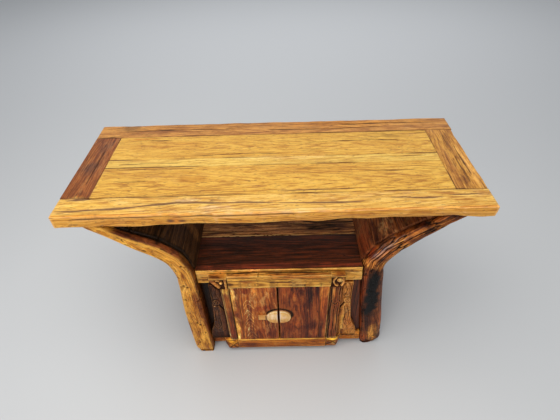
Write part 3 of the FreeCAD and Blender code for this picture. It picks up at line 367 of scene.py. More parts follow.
old_wood("rail_gold", (0.64, 0.19, 0.012), (0.38, 0.088, 0.005), (0.13, 0.028, 0.003), splits=1.0,
         width=70.0, fibre=0.7, mottle=0.9, worn=(0.8, 0.38, 0.07), relief=0.0018, speck=0.6,
         bloom=0.35)
old_wood("post_brown", (0.37, 0.088, 0.014), (0.20, 0.038, 0.006), (0.06, 0.013, 0.003), width=70.0,
         fibre=0.7, mottle=0.7, worn=(0.62, 0.28, 0.07), relief=0.0018, speck=0.5, bloom=0.25)
# The finish of the left carved board: its darkness is painted shade.
old_wood("carved_in_shade", (0.145, 0.036, 0.008), (0.056, 0.014, 0.004), (0.018, 0.006, 0.003),
         split=(0.008, 0.004, 0.003), worn=(0.34, 0.14, 0.045), splits=0.2, mottle=0.6)
old_wood("carved_gold", (0.64, 0.235, 0.04), (0.42, 0.125, 0.018), (0.17, 0.044, 0.008),
         split=(0.05, 0.014, 0.005), worn=(0.85, 0.42, 0.11), splits=0.2, fibre=0.7, mottle=1.0,
         relief=0.0024, speck=0.9, bloom=0.5)
# Near black, standing for the painted shade in the left recess.
old_wood("shaded_recess", (0.035, 0.013, 0.006), (0.015, 0.006, 0.003), (0.006, 0.003, 0.002),
         worn=(0.03, 0.012, 0.005), coat=0.0)
old_wood("door_red", (0.66, 0.195, 0.030), (0.36, 0.075, 0.011), (0.13, 0.022, 0.0045), rings=120.0,
         width=42.0, splits=0.2, figure=0.10, patch=0.7, fibre=0.7, mottle=0.8, worn=(0.75, 0.36, 0.1),
         streak=0.7, bloom=0.55)
old_wood("door_purple", (0.36, 0.078, 0.014), (0.17, 0.028, 0.006), (0.045, 0.008, 0.0035),
         rings=120.0, width=40.0, splits=0.2, figure=0.1, patch=0.9, fibre=0.7, mottle=0.9,
         worn=(0.55, 0.2, 0.045), streak=0.8, bloom=0.3)
old_wood("inner_plain", (0.36, 0.19, 0.08), (0.25, 0.12, 0.05), (0.12, 0.055, 0.025), coat=0.0)
old_wood("pale_grip", (0.90, 0.56, 0.20), (0.82, 0.45, 0.125), (0.6, 0.26, 0.06),
         split=(0.16, 0.08, 0.03), worn=(0.95, 0.8, 0.5), figure=0.0, splits=0.1, streak=0.6,
         fibre=0.3, width=60.0, relief=0.0003, coat=0.25, speck=0.2)
print(len(WOODS), "woods")

# %% [markdown]
# ## Mesh helpers
# A displaced surface needs even faces. A plank starts as a cube that is cut along its three
# directions, closer together near its arrises, where the wear is. A piece with tenons, notches or a
# bend starts as a merged copy of its CAD solid, and a voxel remesh spreads faces over it evenly.

# %% Smooth random values
HASH_PRIMES = (73856093, 19349663, 83492791)


def unit(values):
    """Values held between 0 and 1."""
    return np.clip(values, 0, 1)


def bell(gap, width):
    """A soft line: 1 where the gap is nothing, and nearly 0 at twice the width."""
    return np.exp(-(gap / width) ** 2)


def random_field(spots, seed):
    """Smooth random values from 0 to 1 at many spots, the same on every run."""
    cell = np.floor(spots).astype(np.int64)
    part = spots - cell
    part = part * part * (3 - 2 * part)
    total = np.zeros(len(spots))
    for corner in np.ndindex(2, 2, 2):
        key = cell + np.array(corner)
        hashed = key[:, 0] * HASH_PRIMES[0] ^ key[:, 1] * HASH_PRIMES[1] ^ key[:, 2] * HASH_PRIMES[2]
        hashed = (hashed ^ seed * 668265263) & 0x7FFFFFFF
        hashed = (hashed ^ hashed >> 13) * 1274126177 & 0x7FFFFFFF
        value = ((hashed ^ hashed >> 16) & 0xFFFF) / 0xFFFF
        total += value * np.prod(np.where(np.array(corner) == 1, part, 1 - part), axis=1)
    return total


def layered_field(spots, seed, layers=3):
    """Random values in layers, each twice as fine and half as strong as the last, around zero."""
    total = np.zeros(len(spots))
    for layer in range(layers):
        total += (random_field(spots * 2 ** layer, seed + layer) - 0.5) / 2 ** layer
    return total


# %% Reading and writing a mesh's points
def points(mesh):
    values = np.empty(len(mesh.vertices) * 3)
    mesh.vertices.foreach_get("co", values)
    return values.reshape(-1, 3)


def set_points(mesh, spots):
    mesh.vertices.foreach_set("co", np.ascontiguousarray(spots).ravel())
    mesh.update()


def keep_inside(mesh, low, high):
    """Hold a piece inside a box, its CAD node's, so that the visual stays the CAD's size."""
    set_points(mesh, np.clip(points(mesh), np.array(low), np.array(high)))


def outward_at(mesh):
    values = np.empty(len(mesh.vertices) * 3)
    mesh.vertex_normals.foreach_get("vector", values)
    return values.reshape(-1, 3)


def write_attribute(mesh, name, kind, field, values):
    if name in mesh.attributes:
        mesh.attributes.remove(mesh.attributes[name])
    layer = mesh.attributes.new(name, kind, "POINT")
    layer.data.foreach_set(field, np.ascontiguousarray(values, dtype=float).ravel())


def around(mesh, values):
    """The mean of each point's neighbours."""
    pairs = np.empty(len(mesh.edges) * 2, dtype=np.int64)
    mesh.edges.foreach_get("vertices", pairs)
    first, second = pairs.reshape(-1, 2).T
    count = np.bincount(pairs, minlength=len(mesh.vertices)).astype(float)
    columns = []
    for column in values.reshape(len(values), -1).T:
        total = np.bincount(first, column[second], len(values))
        total += np.bincount(second, column[first], len(values))
        columns.append(total / np.maximum(count, 1))
    return np.stack(columns, axis=1).reshape(values.shape)


# %% Starting shapes
def to_object(work, name):
    mesh = bpy.data.meshes.new(name)
    work.to_mesh(mesh)
    work.free()
    made = bpy.data.objects.new(name, mesh)
    scene.collection.objects.link(made)
    return made


def board(name, low, high, steps, crowd=0.7):
    """A box cut into steps along x, y and z, which crowd towards its ends."""
    low, high = Vector(low), Vector(high)
    work = bmesh.new()
    bmesh.ops.create_cube(work, size=1)
    bmesh.ops.translate(work, vec=(0.5, 0.5, 0.5), verts=work.verts)
    for axis, count in enumerate(steps):
        if count > 1:
            lengthwise = [edge for edge in work.edges
                          if abs(edge.verts[0].co[axis] - edge.verts[1].co[axis]) > 0.5]
            bmesh.ops.subdivide_edges(work, edges=lengthwise, cuts=count - 1, use_grid_fill=True)
    for corner in work.verts:
        for axis in range(3):
            share = corner.co[axis]
            share -= crowd * math.sin(2 * math.pi * share) / (2 * math.pi)
            corner.co[axis] = low[axis] + (high[axis] - low[axis]) * share
    return to_object(work, name)


def even_copy(name, node, size, smooth=0):
    """A merged copy of a CAD node with even faces of one size."""
    work = bmesh.new()
    work.from_mesh(nodes[node].data)
    bmesh.ops.remove_doubles(work, verts=work.verts, dist=1e-5)
    rough = to_object(work, name)
    remesh = rough.modifiers.new("even faces", "REMESH")
    remesh.mode = "VOXEL"
    remesh.voxel_size = size
    seen = rough.evaluated_get(bpy.context.evaluated_depsgraph_get())
    even = bpy.data.meshes.new_from_object(seen)
    rough.modifiers.clear()
    rough.data = even
    for _ in range(smooth):
        spots = points(even)
        set_points(even, spots * 0.5 + around(even, spots) * 0.5)
    return rough


# %% [markdown]
# ## Wear
# Three things age every piece: arrises round off, more in some places than in others; the fibres
# stand up a little, so the faces ripple along the grain; and the hollows darken, with dirt that
# settles there and with painted shade. Where a surface bulges past the mean of its neighbours it is
# an arris, and where it sinks below it is a corner, so both masks are measured on the finished mesh.

# %% Ageing a piece
AXES = {"x": (0, 1, 2), "y": (1, 0, 2), "z": (2, 0, 1)}


def round_arrises(mesh, low, high, radius, seed):
    """Draw a box's arrises onto a round of varying radius."""
    spots = points(mesh)
    low, high = np.array(low), np.array(high)
    amount = radius * (0.6 + 0.9 * random_field(spots * 28, seed))[:, None]
    core = np.clip(spots, low + amount, high - amount)
    out = spots - core
    length = np.maximum(np.linalg.norm(out, axis=1, keepdims=True), 1e-9)
    set_points(mesh, core + out * np.minimum(1, amount / length))


def grain_place(spots, along, seed):
    """Grain coordinates: along the fibres, across them, and out from the heart of the tree."""
    place = spots[:, AXES[along]] if isinstance(along, str) else along
    middle = (place.max(axis=0) + place.min(axis=0)) / 2
    aside = 0.03 * math.sin(seed * 2.3)
    depth = 0.035 + 0.03 * math.sin(seed * 1.7)
    taper = 0.05 + 0.025 * math.sin(seed * 3.1)
    lengthwise, across, deep = (place - middle).T
    bow = layered_field(np.stack([place[:, 0] * 2.5, across * 0 + seed, across * 0], axis=1), seed) * 0.022
    radius = np.hypot(across - aside + bow, deep + depth + taper * lengthwise)
    return np.stack([place[:, 0] + seed * 1.37 % 7, place[:, 1] + seed * 0.73 % 5, radius], axis=1)


def ripple(mesh, along, seed, depth, coarse=0.0):
    """Raise and sink the faces along the grain."""
    spots = points(mesh)
    place = grain_place(spots, along, seed)
    fine = layered_field(place * (6, 130, 130), seed)
    broad = layered_field(place * (3, 14, 14), seed + 5)
    set_points(mesh, spots + outward_at(mesh) * (fine * depth + broad * coarse)[:, None])


def mark(mesh, along, seed, paint, wear=1.0, dirt=0.7, extra_dirt_and_shade=None):
    """Write the grain, wear, dirt and paint attributes that the woods read, painted shade and light among
    them.
    """
    spots = points(mesh)
    write_attribute(mesh, "grain", "FLOAT_VECTOR", "vector", grain_place(spots, along, seed))
    smooth = around(mesh, around(mesh, spots))
    bulge = ((spots - smooth) * outward_at(mesh)).sum(axis=1)
    bulge = around(mesh, bulge)
    limit = max(np.percentile(np.abs(bulge), 97), 1e-6)
    rub = unit(bulge / limit * 1.3 - 0.25) * wear
    # Hollows darken: dirt settles there, and painted shade is laid there too.
    grime_and_shade = unit(-bulge / limit * 1.3 - 0.25) * dirt
    if extra_dirt_and_shade is not None:
        grime_and_shade = unit(grime_and_shade + extra_dirt_and_shade)
    write_attribute(mesh, "wear", "FLOAT", "value", rub * (1 - grime_and_shade))
    write_attribute(mesh, "dirt", "FLOAT", "value", grime_and_shade)
    write_attribute(mesh, "paint", "FLOAT_COLOR", "color", np.column_stack((paint, np.ones(len(spots)))))


def settle(piece, node, wood):
    """Give a finished piece its wood and the body of the CAD node that it stands for, and hide that node."""
    piece.data.materials.append(WOODS[wood])
    piece.data.shade_smooth()
    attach(piece, body_of[node])
    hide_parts(node)


# %% [markdown]
# ## The framed top
# Seven planks make the top: two long ones, two end boards between them, and three field planks. The
# long front plank shows most. It has a waney lower arris where the bark once was, an old crack that
# wanders from its left end, and a knot. Each crack is a line of a few points; the faces near it sink
# and take dirt, and a little noise keeps it from looking drawn.

# %% Cracks and knots
def crack_depth(spots, line, width, depth, seed, across=1):
    """How far each point sinks into a crack that follows a line along x."""
    along = spots[:, 0]
    xs, ys = np.array(line).T
    wander = layered_field(np.stack([along * 13, along * 0, along * 0 + seed], axis=1), seed) * width
    away = np.abs(spots[:, across] - np.interp(along, xs, ys) - wander)
    ends = unit(np.minimum(along - xs[0], xs[-1] - along) / 0.05)
    places = np.stack([along * 14, along * 0, along * 0], axis=1)
    open_share = ends * (0.55 + 0.9 * random_field(places, seed + 3))
    return depth * open_share * bell(away, width * np.maximum(open_share, 0.15))


def sink(mesh, depth, where, axis=2, sign=-1):
    spots = points(mesh)
    spots[where, axis] += sign * depth[where]
    set_points(mesh, spots)


def joint_dirt(spots, axis, edge, width, seed):
    """Dirt along a joint, in stretches."""
    stretch = 0.45 + 1.9 * layered_field(spots * (9, 9, 0), seed)
    return np.clip(stretch, 0.1, 1) * bell(spots[:, axis] - edge, width)


# %% [markdown]
# Colour is laid on as soft patches and soft lines, which multiply the wood's own colour. Some are the
# wood's own tints, others painted highlights and painted shade. Nearly all of them lie on one level or
# upright face, so short rows are enough to say where they are.

# %% Patches and lines of colour
def mixed(first, second, share):
    """Colours between two, at each point's share of the second."""
    return first * (1 - share) + np.array(second) * share


def blots(spots, seed, table, colours=None):
    """Paint soft patches: each row is a centre, its radii and the colour that it turns the wood."""
    colours = np.ones((len(spots), 3)) if colours is None else colours
    rough = layered_field(spots * 45, seed) * 0.7
    for centre, radii, colour in table:
        away = np.linalg.norm((spots - np.array(centre)) / np.array(radii), axis=1) + rough
        share = unit(1.6 - 1.4 * away)[:, None]
        colours = mixed(colours, colour, share)
    return colours


def segment_gap(spots, start, end):
    """Distance from each place to a straight line between two points."""
    way = np.subtract(end, start)
    share = unit((spots - start) @ way / (way @ way))
    return np.linalg.norm(spots - start - share[:, None] * way, axis=1)


FRONT = -0.262


def front_patches(rows, depth=FRONT, reach=0.02):
    """Rows of patches on an upright face, from x, height, two radii and a colour each."""
    return [((x, depth, z), (wide, reach, tall), colour) for x, z, wide, tall, colour in rows]


def top_patches(rows, reach=0.03, level=0.87):
    """Rows of patches on a level face, from x, y, two radii and a colour each."""
    return [((x, y, level), (wide, deep, reach), colour) for x, y, wide, deep, colour in rows]


def front_lines(rows, depth=FRONT):
    """Rows of soft lines on an upright face, from two ends, a half width and a colour each."""
    return [((x0, depth, z0), (x1, depth, z1), width, colour) for x0, z0, x1, z1, width, colour in rows]


def stroked(spots, seed, table, colours):
    """Paint soft lines: each row is a start, an end, a half width and a colour."""
    uneven = np.clip(1 + 1.6 * layered_field(spots * 60, seed + 60), 0.15, 1)
    for start, end, width, colour in table:
        share = (bell(segment_gap(spots, start, end), width) * uneven)[:, None]
        colours = mixed(colours, colour, share)
    return colours


# %% Sizes of the top
front_low, front_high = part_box("top_front_plank")
back_low, back_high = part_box("top_back_plank")
left_low, left_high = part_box("top_end_board_left")
right_low, right_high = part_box("top_end_board_right")
top_z, under_z = front_high.z, front_low.z
frame_front, frame_back = front_high.y, back_low.y
field_left, field_right = left_high.x, right_low.x
ARRIS = 0.0022
SKIN = 0.006

# %% Front plank
WANEY_LINE = [(-0.70, 0.10), (-0.56, 0.3), (-0.44, 0.1), (-0.35, 0.25), (-0.26, 0.5), (-0.17, 0.35),
              (-0.05, 0.2), (0.06, 0.5), (0.15, 0.35), (0.23, 0.9), (0.30, 0.65), (0.37, 1.0), (0.47, 0.7),
              (0.57, 0.95), (0.65, 0.45), (0.70, 0.6)]
WANEY_HEIGHT = 0.013
WANEY_REACH = (0.026, 0.03)
LEFT_CRACK = [(-0.705, -0.2485), (-0.60, -0.244), (-0.475, -0.238), (-0.401, -0.227), (-0.304, -0.2165),
              (-0.15, -0.2215), (0.024, -0.227)]
MIDDLE_CRACK = [(0.0, -0.2295), (0.15, -0.234), (0.33, -0.232)]
RIGHT_CRACK = [(0.355, -0.2175), (0.422, -0.2165), (0.485, -0.221), (0.56, -0.219)]
CORNER_CRACK = [(0.55, -0.2085), (0.62, -0.2105), (0.70, -0.2065)]
FACE_CRACK = [(-0.66, 0.857), (-0.40, 0.861), (-0.20, 0.8585), (0.10, 0.862)]
WEDGE_CRACK = [(-0.69, -0.196), (-0.64, -0.193), (-0.59, -0.187), (-0.52, -0.185)]
KNOTS = [(-0.322, 0.840), (-0.285, 0.839)]
KNOT_SIZE = 0.006
FACE_TINT = (1.12, 0.90, 0.66)
FRONT_BLOTS = top_patches([
    (-0.15, -0.262, 0.22, 0.010, (1.1, 1.22, 1.9)),
    (-0.19, -0.245, 0.05, 0.012, (1.05, 1.15, 2.2)),
    (0.10, -0.266, 0.20, 0.008, (1.05, 1.14, 1.6)),
    (-0.28, -0.207, 0.05, 0.010, (1.05, 1.2, 2.2)),
    (-0.60, -0.225, 0.09, 0.02, (1.1, 1.12, 1.0)),
    (0.62, -0.245, 0.06, 0.02, (0.85, 0.74, 0.65)),
    (0.585, -0.224, 0.035, 0.003, (0.6, 0.42, 0.35)),
    (0.600, -0.236, 0.040, 0.003, (0.6, 0.42, 0.35)),
    (0.630, -0.248, 0.035, 0.003, (0.65, 0.5, 0.4)),
    (0.30, -0.205, 0.25, 0.02, (0.93, 0.88, 0.82))], 0.02) + front_patches([
    (-0.305, 0.840, 0.036, 0.014, (1.1, 0.66, 0.36)),
    (-0.322, 0.841, 0.016, 0.010, (0.5, 0.22, 0.12)),
    (-0.285, 0.840, 0.014, 0.009, (0.55, 0.26, 0.14))], -0.275)


def front_plank():
    piece = board("plank_front", front_low, front_high, (330, 64, 22), 0.3)
    mesh = piece.data
    round_arrises(mesh, front_low, front_high, ARRIS * 1.4, 11)
    spots = points(mesh)
    on_top = spots[:, 2] > top_z - SKIN
    on_front = (spots[:, 1] < front_low.y + SKIN) & (spots[:, 2] > under_z + 2 * SKIN)
    dirt = np.zeros(len(spots))
    for seed, (line, width, depth) in enumerate(((LEFT_CRACK, 0.0036, 0.0026), (MIDDLE_CRACK, 0.0026, 0.002),
                                                 (RIGHT_CRACK, 0.0036, 0.004), (CORNER_CRACK, 0.0024, 0.003),
                                                 (WEDGE_CRACK, 0.0036, 0.0035)), 21):
        sunk = crack_depth(spots, line, width, depth, seed)
        sink(mesh, sunk, on_top)
        dirt += np.where(on_top, 1.3 * sunk / depth, 0)
    sunk = crack_depth(spots, FACE_CRACK, 0.0016, 0.002, 31, across=2)
    sink(mesh, sunk, on_front, axis=1, sign=1)
    dirt += np.where(on_front, sunk / 0.003, 0)
    for knot_x, knot_z in KNOTS:
        knot = np.hypot((spots[:, 0] - knot_x) / 2.0, spots[:, 2] - knot_z)
        dirt += np.where(on_front, 1.2 * bell(knot, KNOT_SIZE), 0)
    spots = points(mesh)
    lift = np.interp(spots[:, 0], *np.array(WANEY_LINE).T) * WANEY_HEIGHT
    lift += layered_field(spots * (22, 0, 0), 17) * 0.0016
    near_front = unit(1 - (spots[:, 1] - front_low.y) / WANEY_REACH[0]) ** 0.8
    near_under = unit(1 - (spots[:, 2] - under_z) / WANEY_REACH[1])
    spots[:, 2] += np.maximum(lift, 0) * near_front * near_under
    spots[:, 1] += np.maximum(lift, 0) * 0.5 * near_under * near_front
    wave = layered_field(spots * (9, 0, 0), 13) * 0.006
    spots[:, 1] += np.maximum(wave, 0) * unit(1 - (spots[:, 1] - front_low.y) / 0.03)
    set_points(mesh, spots)
    ripple(mesh, "x", 1, 0.0007, 0.0012)
    keep_inside(mesh, front_low, front_high)
    spots = points(mesh)
    dirt += joint_dirt(spots, 1, front_high.y, 0.0032, 14)
    at_left = unit((-0.25 - spots[:, 0]) / 0.2)
    dirt += at_left * bell(spots[:, 1] - front_high.y, 0.0036)
    face = unit((front_low.y + 0.011 - spots[:, 1]) / 0.004)[:, None]
    paint = 1 - face * (1 - np.array(FACE_TINT))
    near_arris = np.clip(1 - (spots[:, 1] - front_low.y) / 0.02, 0.15, 1)
    mark(mesh, "x", 1, blots(spots, 16, FRONT_BLOTS, paint), wear=near_arris, extra_dirt_and_shade=dirt)
    settle(piece, "top_front_plank", "front_plank")


front_plank()

# %% [markdown]
# The other planks of the top share one recipe: a board with worn arrises, a few cracks of its own,
# and a live edge where it shows on the outside.

# %% Recipe for a plank of the top
TOP_WEAR = 0.25
LIVE_EDGE = 0.007


def top_plank(name, node, low, high, along, wood, seed, steps, cracks=(), live=None, paint=(), width=0.0016,
              joints=()):
    """One plank of the top; live gives the axis, place and inward sign of an edge that wanders."""
    piece = board(name, low, high, steps, 0.55)
    mesh = piece.data
    round_arrises(mesh, low, high, ARRIS, seed)
    spots = points(mesh)
    on_top = spots[:, 2] > top_z - SKIN
    dirt = np.zeros(len(spots))
    turned = spots if along == "x" else spots[:, (1, 0, 2)]
    for number, line in enumerate(cracks):
        sunk = crack_depth(turned, line, width, width * 1.6, seed + 40 + number)
        sink(mesh, sunk, on_top)
        dirt += np.where(on_top, sunk / (width * 1.6), 0)
    if live:
        axis, edge, sign = live
        spots = points(mesh)
        other = 0 if axis == 1 else 1
        wave = 0.5 + layered_field(spots * (11, 11, 5) * (other == 0, other == 1, 1), seed + 9)
        near = unit(1 - np.abs(spots[:, axis] - edge) / 0.03)
        spots[:, axis] += sign * unit(wave) * LIVE_EDGE * near
        set_points(mesh, spots)
    ripple(mesh, along, seed, 0.0006, 0.0009)
    keep_inside(mesh, low, high)
    spots = points(mesh)
    for number, (axis, edge, line_width) in enumerate(joints):
        dirt += joint_dirt(spots, axis, edge, line_width, seed + number)
    mark(mesh, along, seed, blots(spots, seed, paint), wear=TOP_WEAR, extra_dirt_and_shade=dirt)
    settle(piece, node, wood)


# %% Back plank and end boards
BACK_CRACKS = [[(-0.62, 0.229), (-0.35, 0.233), (-0.1, 0.226)],
               [(-0.05, 0.216), (0.2, 0.212), (0.45, 0.218)],
               [(0.25, 0.243), (0.5, 0.246), (0.68, 0.241)]]
top_plank("plank_back", "top_back_plank", back_low, back_high, "x", "russet_plank", 2, (190, 50, 12),
          BACK_CRACKS, live=(1, back_high.y, -1), width=0.002, joints=[(1, back_low.y, 0.0036)],
          paint=top_patches([
              (-0.58, 0.25, 0.05, 0.03, (0.55, 0.55, 0.6)),
              (-0.45, 0.22, 0.12, 0.02, (0.7, 0.62, 0.62)),
              (0.30, 0.25, 0.25, 0.03, (1.15, 1.1, 0.9))]))
LEFT_END_CRACKS = [[(-0.15, -0.640), (0.0, -0.638), (0.12, -0.641)]]
RIGHT_END_CRACKS = [[(-0.17, 0.655), (-0.02, 0.652), (0.16, 0.648)],
                    [(-0.14, 0.674), (0.0, 0.670), (0.1, 0.669)]]
END_JOINTS = [(1, frame_front, 0.004), (1, frame_back, 0.003)]
top_plank("end_board_left", "top_end_board_left", (left_low.x, frame_front, under_z),
          (left_high.x, frame_back, top_z), "y", "chestnut_end", 3, (46, 90, 12), LEFT_END_CRACKS,
          joints=END_JOINTS + [(0, left_high.x, 0.002)],
          paint=top_patches([
              (-0.66, -0.02, 0.03, 0.05, (0.62, 0.75, 1.3)),
              (-0.64, 0.12, 0.025, 0.05, (0.7, 0.8, 1.2)),
              (-0.65, -0.185, 0.03, 0.015, (1.6, 2.0, 1.6)),
              (-0.68, 0.05, 0.015, 0.06, (1.2, 1.3, 1.2))]))
top_plank("end_board_right", "top_end_board_right", (right_low.x, frame_front, under_z),
          (right_high.x, frame_back, top_z), "y", "russet_plank", 4, (52, 90, 12), RIGHT_END_CRACKS,
          live=(0, right_high.x, -1), width=0.0012, joints=END_JOINTS + [(0, right_low.x, 0.002)],
          paint=[
              ((0.65, 0.0, 0.87), (0.09, 0.3, 0.04), (0.97, 0.99, 0.70))] + top_patches([
              (0.62, -0.05, 0.014, 0.12, (0.85, 0.8, 0.7)),
              (0.64, -0.13, 0.012, 0.04, (0.55, 0.48, 0.45)),
              (0.68, -0.02, 0.016, 0.14, (1.35, 1.5, 1.5))]))

# %% Field planks
FIELD = {
    "front": ("honey_field", 5, (190, 76, 8), [[(-0.58, -0.100), (-0.50, -0.103), (-0.41, -0.102)],
                                        [(-0.60, -0.030), (-0.45, -0.0335), (-0.25, -0.032)],
                                        [(-0.05, -0.165), (0.1, -0.168), (0.3, -0.166)],
                                        [(0.30, -0.070), (0.42, -0.072), (0.55, -0.070)]]),
    "middle": ("pale_strip", 6, (190, 30, 8), [[(-0.60, 0.0), (-0.45, 0.002), (-0.3, 0.001)],
                                              [(0.35, 0.012), (0.45, 0.010), (0.58, 0.013)]]),
    "back": ("honey_field", 7, (190, 74, 8), [[(-0.57, 0.155), (-0.48, 0.158), (-0.36, 0.154)],
                                       [(-0.30, 0.046), (-0.1, 0.052), (0.05, 0.048)],
                                       [(0.2, 0.12), (0.35, 0.124), (0.5, 0.119)]]),
}
FIELD_BLOTS = top_patches([
    (-0.27, -0.095, 0.06, 0.02, (0.8, 0.68, 0.55)),
    (0.15, -0.05, 0.25, 0.02, (0.9, 0.82, 0.75)),
    (0.05, 0.02, 0.22, 0.015, (1.10, 1.12, 1.45)),
    (-0.40, 0.12, 0.16, 0.03, (0.94, 0.88, 0.82)),
    (0.40, 0.09, 0.2, 0.03, (0.9, 0.84, 0.8)),
    (-0.50, 0.168, 0.08, 0.006, (0.75, 0.5, 0.35))])
for row, (wood, seed, steps, cracks) in FIELD.items():
    low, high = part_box(f"top_field_plank_{row}")
    sides = [(1, low.y, 0.0034), (1, high.y, 0.0034), (0, field_left, 0.0018), (0, field_right, 0.0018)]
    top_plank(f"field_plank_{row}", f"top_field_plank_{row}", (field_left, low.y, under_z),
              (field_right, high.y, top_z), "x", wood, seed, steps, cracks, joints=sides, paint=FIELD_BLOTS)
print("top: 7 planks")

# %% [markdown]
# ## The four branches
# Each leg is one bent branch, split or sawn to an even thickness, with its bark side left round.
# The fibres follow the bend, so the grain coordinates follow a line through the middle of the
# branch, found by looking at how the leg lies at each height. The surface gets the slow swell of
# grown wood, the foot is worn round, and the pair on the right is split where it bends.

# %% Grain that follows a branch
LEVELS = 14
HEAD_LEVEL = 0.82


def course_of(spots):
    """Points down the middle of a bent leg, seen from the front."""
    heights = np.linspace(spots[:, 2].min() + 0.004, HEAD_LEVEL, LEVELS)
    course = []
    for height in heights:
        near = spots[np.abs(spots[:, 2] - height) < 0.006]
        course.append(((near[:, 0].min() + near[:, 0].max()) / 2, height))
    return np.array(course)


def along_course(spots, course):
    """Distance along the course, distance beside it, and depth, for each point."""
    flat = spots[:, (0, 2)]
    best = np.full(len(spots), 9.0)
    lengthwise = np.zeros(len(spots))
    beside = np.zeros(len(spots))
    travelled = 0.0
    for start, end in zip(course[:-1], course[1:]):
        way = end - start
        length = np.linalg.norm(way)
        share = unit((flat - start) @ way / length ** 2)
        gap = flat - start - share[:, None] * way
        away = np.linalg.norm(gap, axis=1)
        nearer = away < best
        side = np.sign(way[0] * gap[:, 1] - way[1] * gap[:, 0])
        best = np.where(nearer, away, best)
        lengthwise = np.where(nearer, travelled + share * length, lengthwise)
        beside = np.where(nearer, away * side, beside)
        travelled += length
    return np.stack([lengthwise, beside, spots[:, 1]], axis=1)


# %% Looks of the legs
FOOT_WEAR = 0.013
FOOT_HEIGHT = 0.045
# The second of these colours is painted light on the lit band of the right arm.
GREY, LIT_ORANGE, GOLD_PATCH, BLACK = (3.0, 10.0, 48.0), (4.4, 5.6, 4.4), (3.2, 5.2, 4.6), (0.01, 0.02, 0.05)
# Painted light for the lit band of the left arm.
ARM_HIGHLIGHT = (1.38, 1.48, 1.35)
LEG_LOOKS = {
    "leg_front_left": ("branch_gold", 41, 0.003, 0.0024, front_patches([
        # Painted shade down the inner edge of the shank.
        (-0.318, 0.41, 0.02, 0.05, (0.55, 0.38, 0.35)),
        (-0.306, 0.33, 0.017, 0.06, (0.36, 0.22, 0.2)),
        (-0.301, 0.24, 0.014, 0.07, (0.4, 0.24, 0.22)),
        (-0.298, 0.13, 0.012, 0.08, (0.5, 0.34, 0.3)),
        (-0.378, 0.19, 0.010, 0.08, (0.6, 0.4, 0.32)),
        (-0.345, 0.16, 0.010, 0.03, (0.55, 0.42, 0.4)),
        (-0.360, 0.08, 0.012, 0.03, (0.6, 0.42, 0.35))], -0.265, 0.05) + [
        # A painted highlight on the bend.
        ((-0.372, -0.265, 0.60), (0.02, 0.06, 0.04), (1.2, 1.3, 1.5))] + front_patches([
        # Painted light along the lit band of the arm.
        (-0.410, 0.635, 0.05, 0.035, ARM_HIGHLIGHT),
        (-0.470, 0.680, 0.06, 0.035, ARM_HIGHLIGHT),
        (-0.530, 0.725, 0.06, 0.035, ARM_HIGHLIGHT),
        (-0.590, 0.770, 0.06, 0.035, ARM_HIGHLIGHT)], -0.265, 0.04) + front_patches([
        (-0.348, 0.46, 0.024, 0.04, (1.25, 1.35, 1.6)),
        (-0.352, 0.25, 0.020, 0.07, (1.12, 1.2, 1.3)),
        (-0.330, 0.12, 0.016, 0.06, (1.12, 1.2, 1.2))], -0.265, 0.05)),
    "leg_back_left": ("branch_gold", 42, 0.0045, 0.002, []),
    "leg_front_right": ("branch_red", 43, 0.0026, 0.0026, front_patches([
        # A painted highlight down the leg's right edge.
        (0.442, 0.30, 0.015, 0.26, (2.1, 1.8, 1.3)),
        (0.371, 0.45, 0.031, 0.12, BLACK),
        (0.376, 0.37, 0.033, 0.12, BLACK),
        (0.380, 0.29, 0.031, 0.12, BLACK),
        (0.388, 0.19, 0.018, 0.06, (0.4, 0.35, 0.35)),
        (0.341, 0.37, 0.009, 0.25, (1.5, 1.1, 0.9)),
        (0.350, 0.16, 0.018, 0.08, (1.3, 1.0, 0.85))], -0.237, 0.06) + front_patches([
        # Painted light along the lit band of the arm.
        (0.350, 0.57, 0.030, 0.03, LIT_ORANGE),
        (0.392, 0.56, 0.030, 0.035, (3.0, 3.8, 3.2)),
        (0.400, 0.620, 0.05, 0.035, LIT_ORANGE),
        (0.445, 0.67, 0.05, 0.03, (3.4, 4.3, 3.6)),
        (0.500, 0.715, 0.06, 0.03, (2.8, 3.4, 2.8)),
        (0.580, 0.765, 0.08, 0.03, (2.8, 3.4, 2.8))], -0.237, 0.05) + [
        ((0.345, -0.215, 0.61), (0.03, 0.03, 0.045), (1.3, 0.75, 0.6))] + front_patches([
        (0.420, 0.09, 0.032, 0.07, GOLD_PATCH),
        (0.375, 0.05, 0.02, 0.05, (1.6, 1.3, 1.0))], -0.237, 0.05)),
    "leg_back_right": ("branch_red", 44, 0.0045, 0.002, []),
}
# The second bark colour is painted shadow for bark that lies back in the niche; the colour below is painted
# shade for the side facing the cupboard.
BARK, BARK_IN_SHADOW, RIGHT_BARK = (0.26, 0.15, 0.3), (0.02, 0.02, 0.04), (0.5, 0.34, 0.32)
INNER_SIDE_SHADE = (0.22, 0.14, 0.12)
BARK_REACH = 0.020
PIT_DEPTH = 0.002
# For each side: which way the niche lies, how much of the leg splits, how deep and how dirty the splits
# are, where the foot's outer side begins and how far it lifts, where the bark begins and how strong it is.
LEG_SIDES = {"left": (-1, 0.12, 0.001, 0.5, -0.012, 0.014, 0.028, 0.85),
             "right": (1, 1, 0.006, 0.95, 0.012, 0.030, 0.021, 0.5)}


# %% Legs
def split_share(place, seed, narrow, reach):
    """Where long splits run: near 1 on the lines at which a stretched field crosses its middle."""
    crossing = np.abs(layered_field(place * (8, 100, 85), seed, layers=2))
    return bell(crossing, narrow) * reach


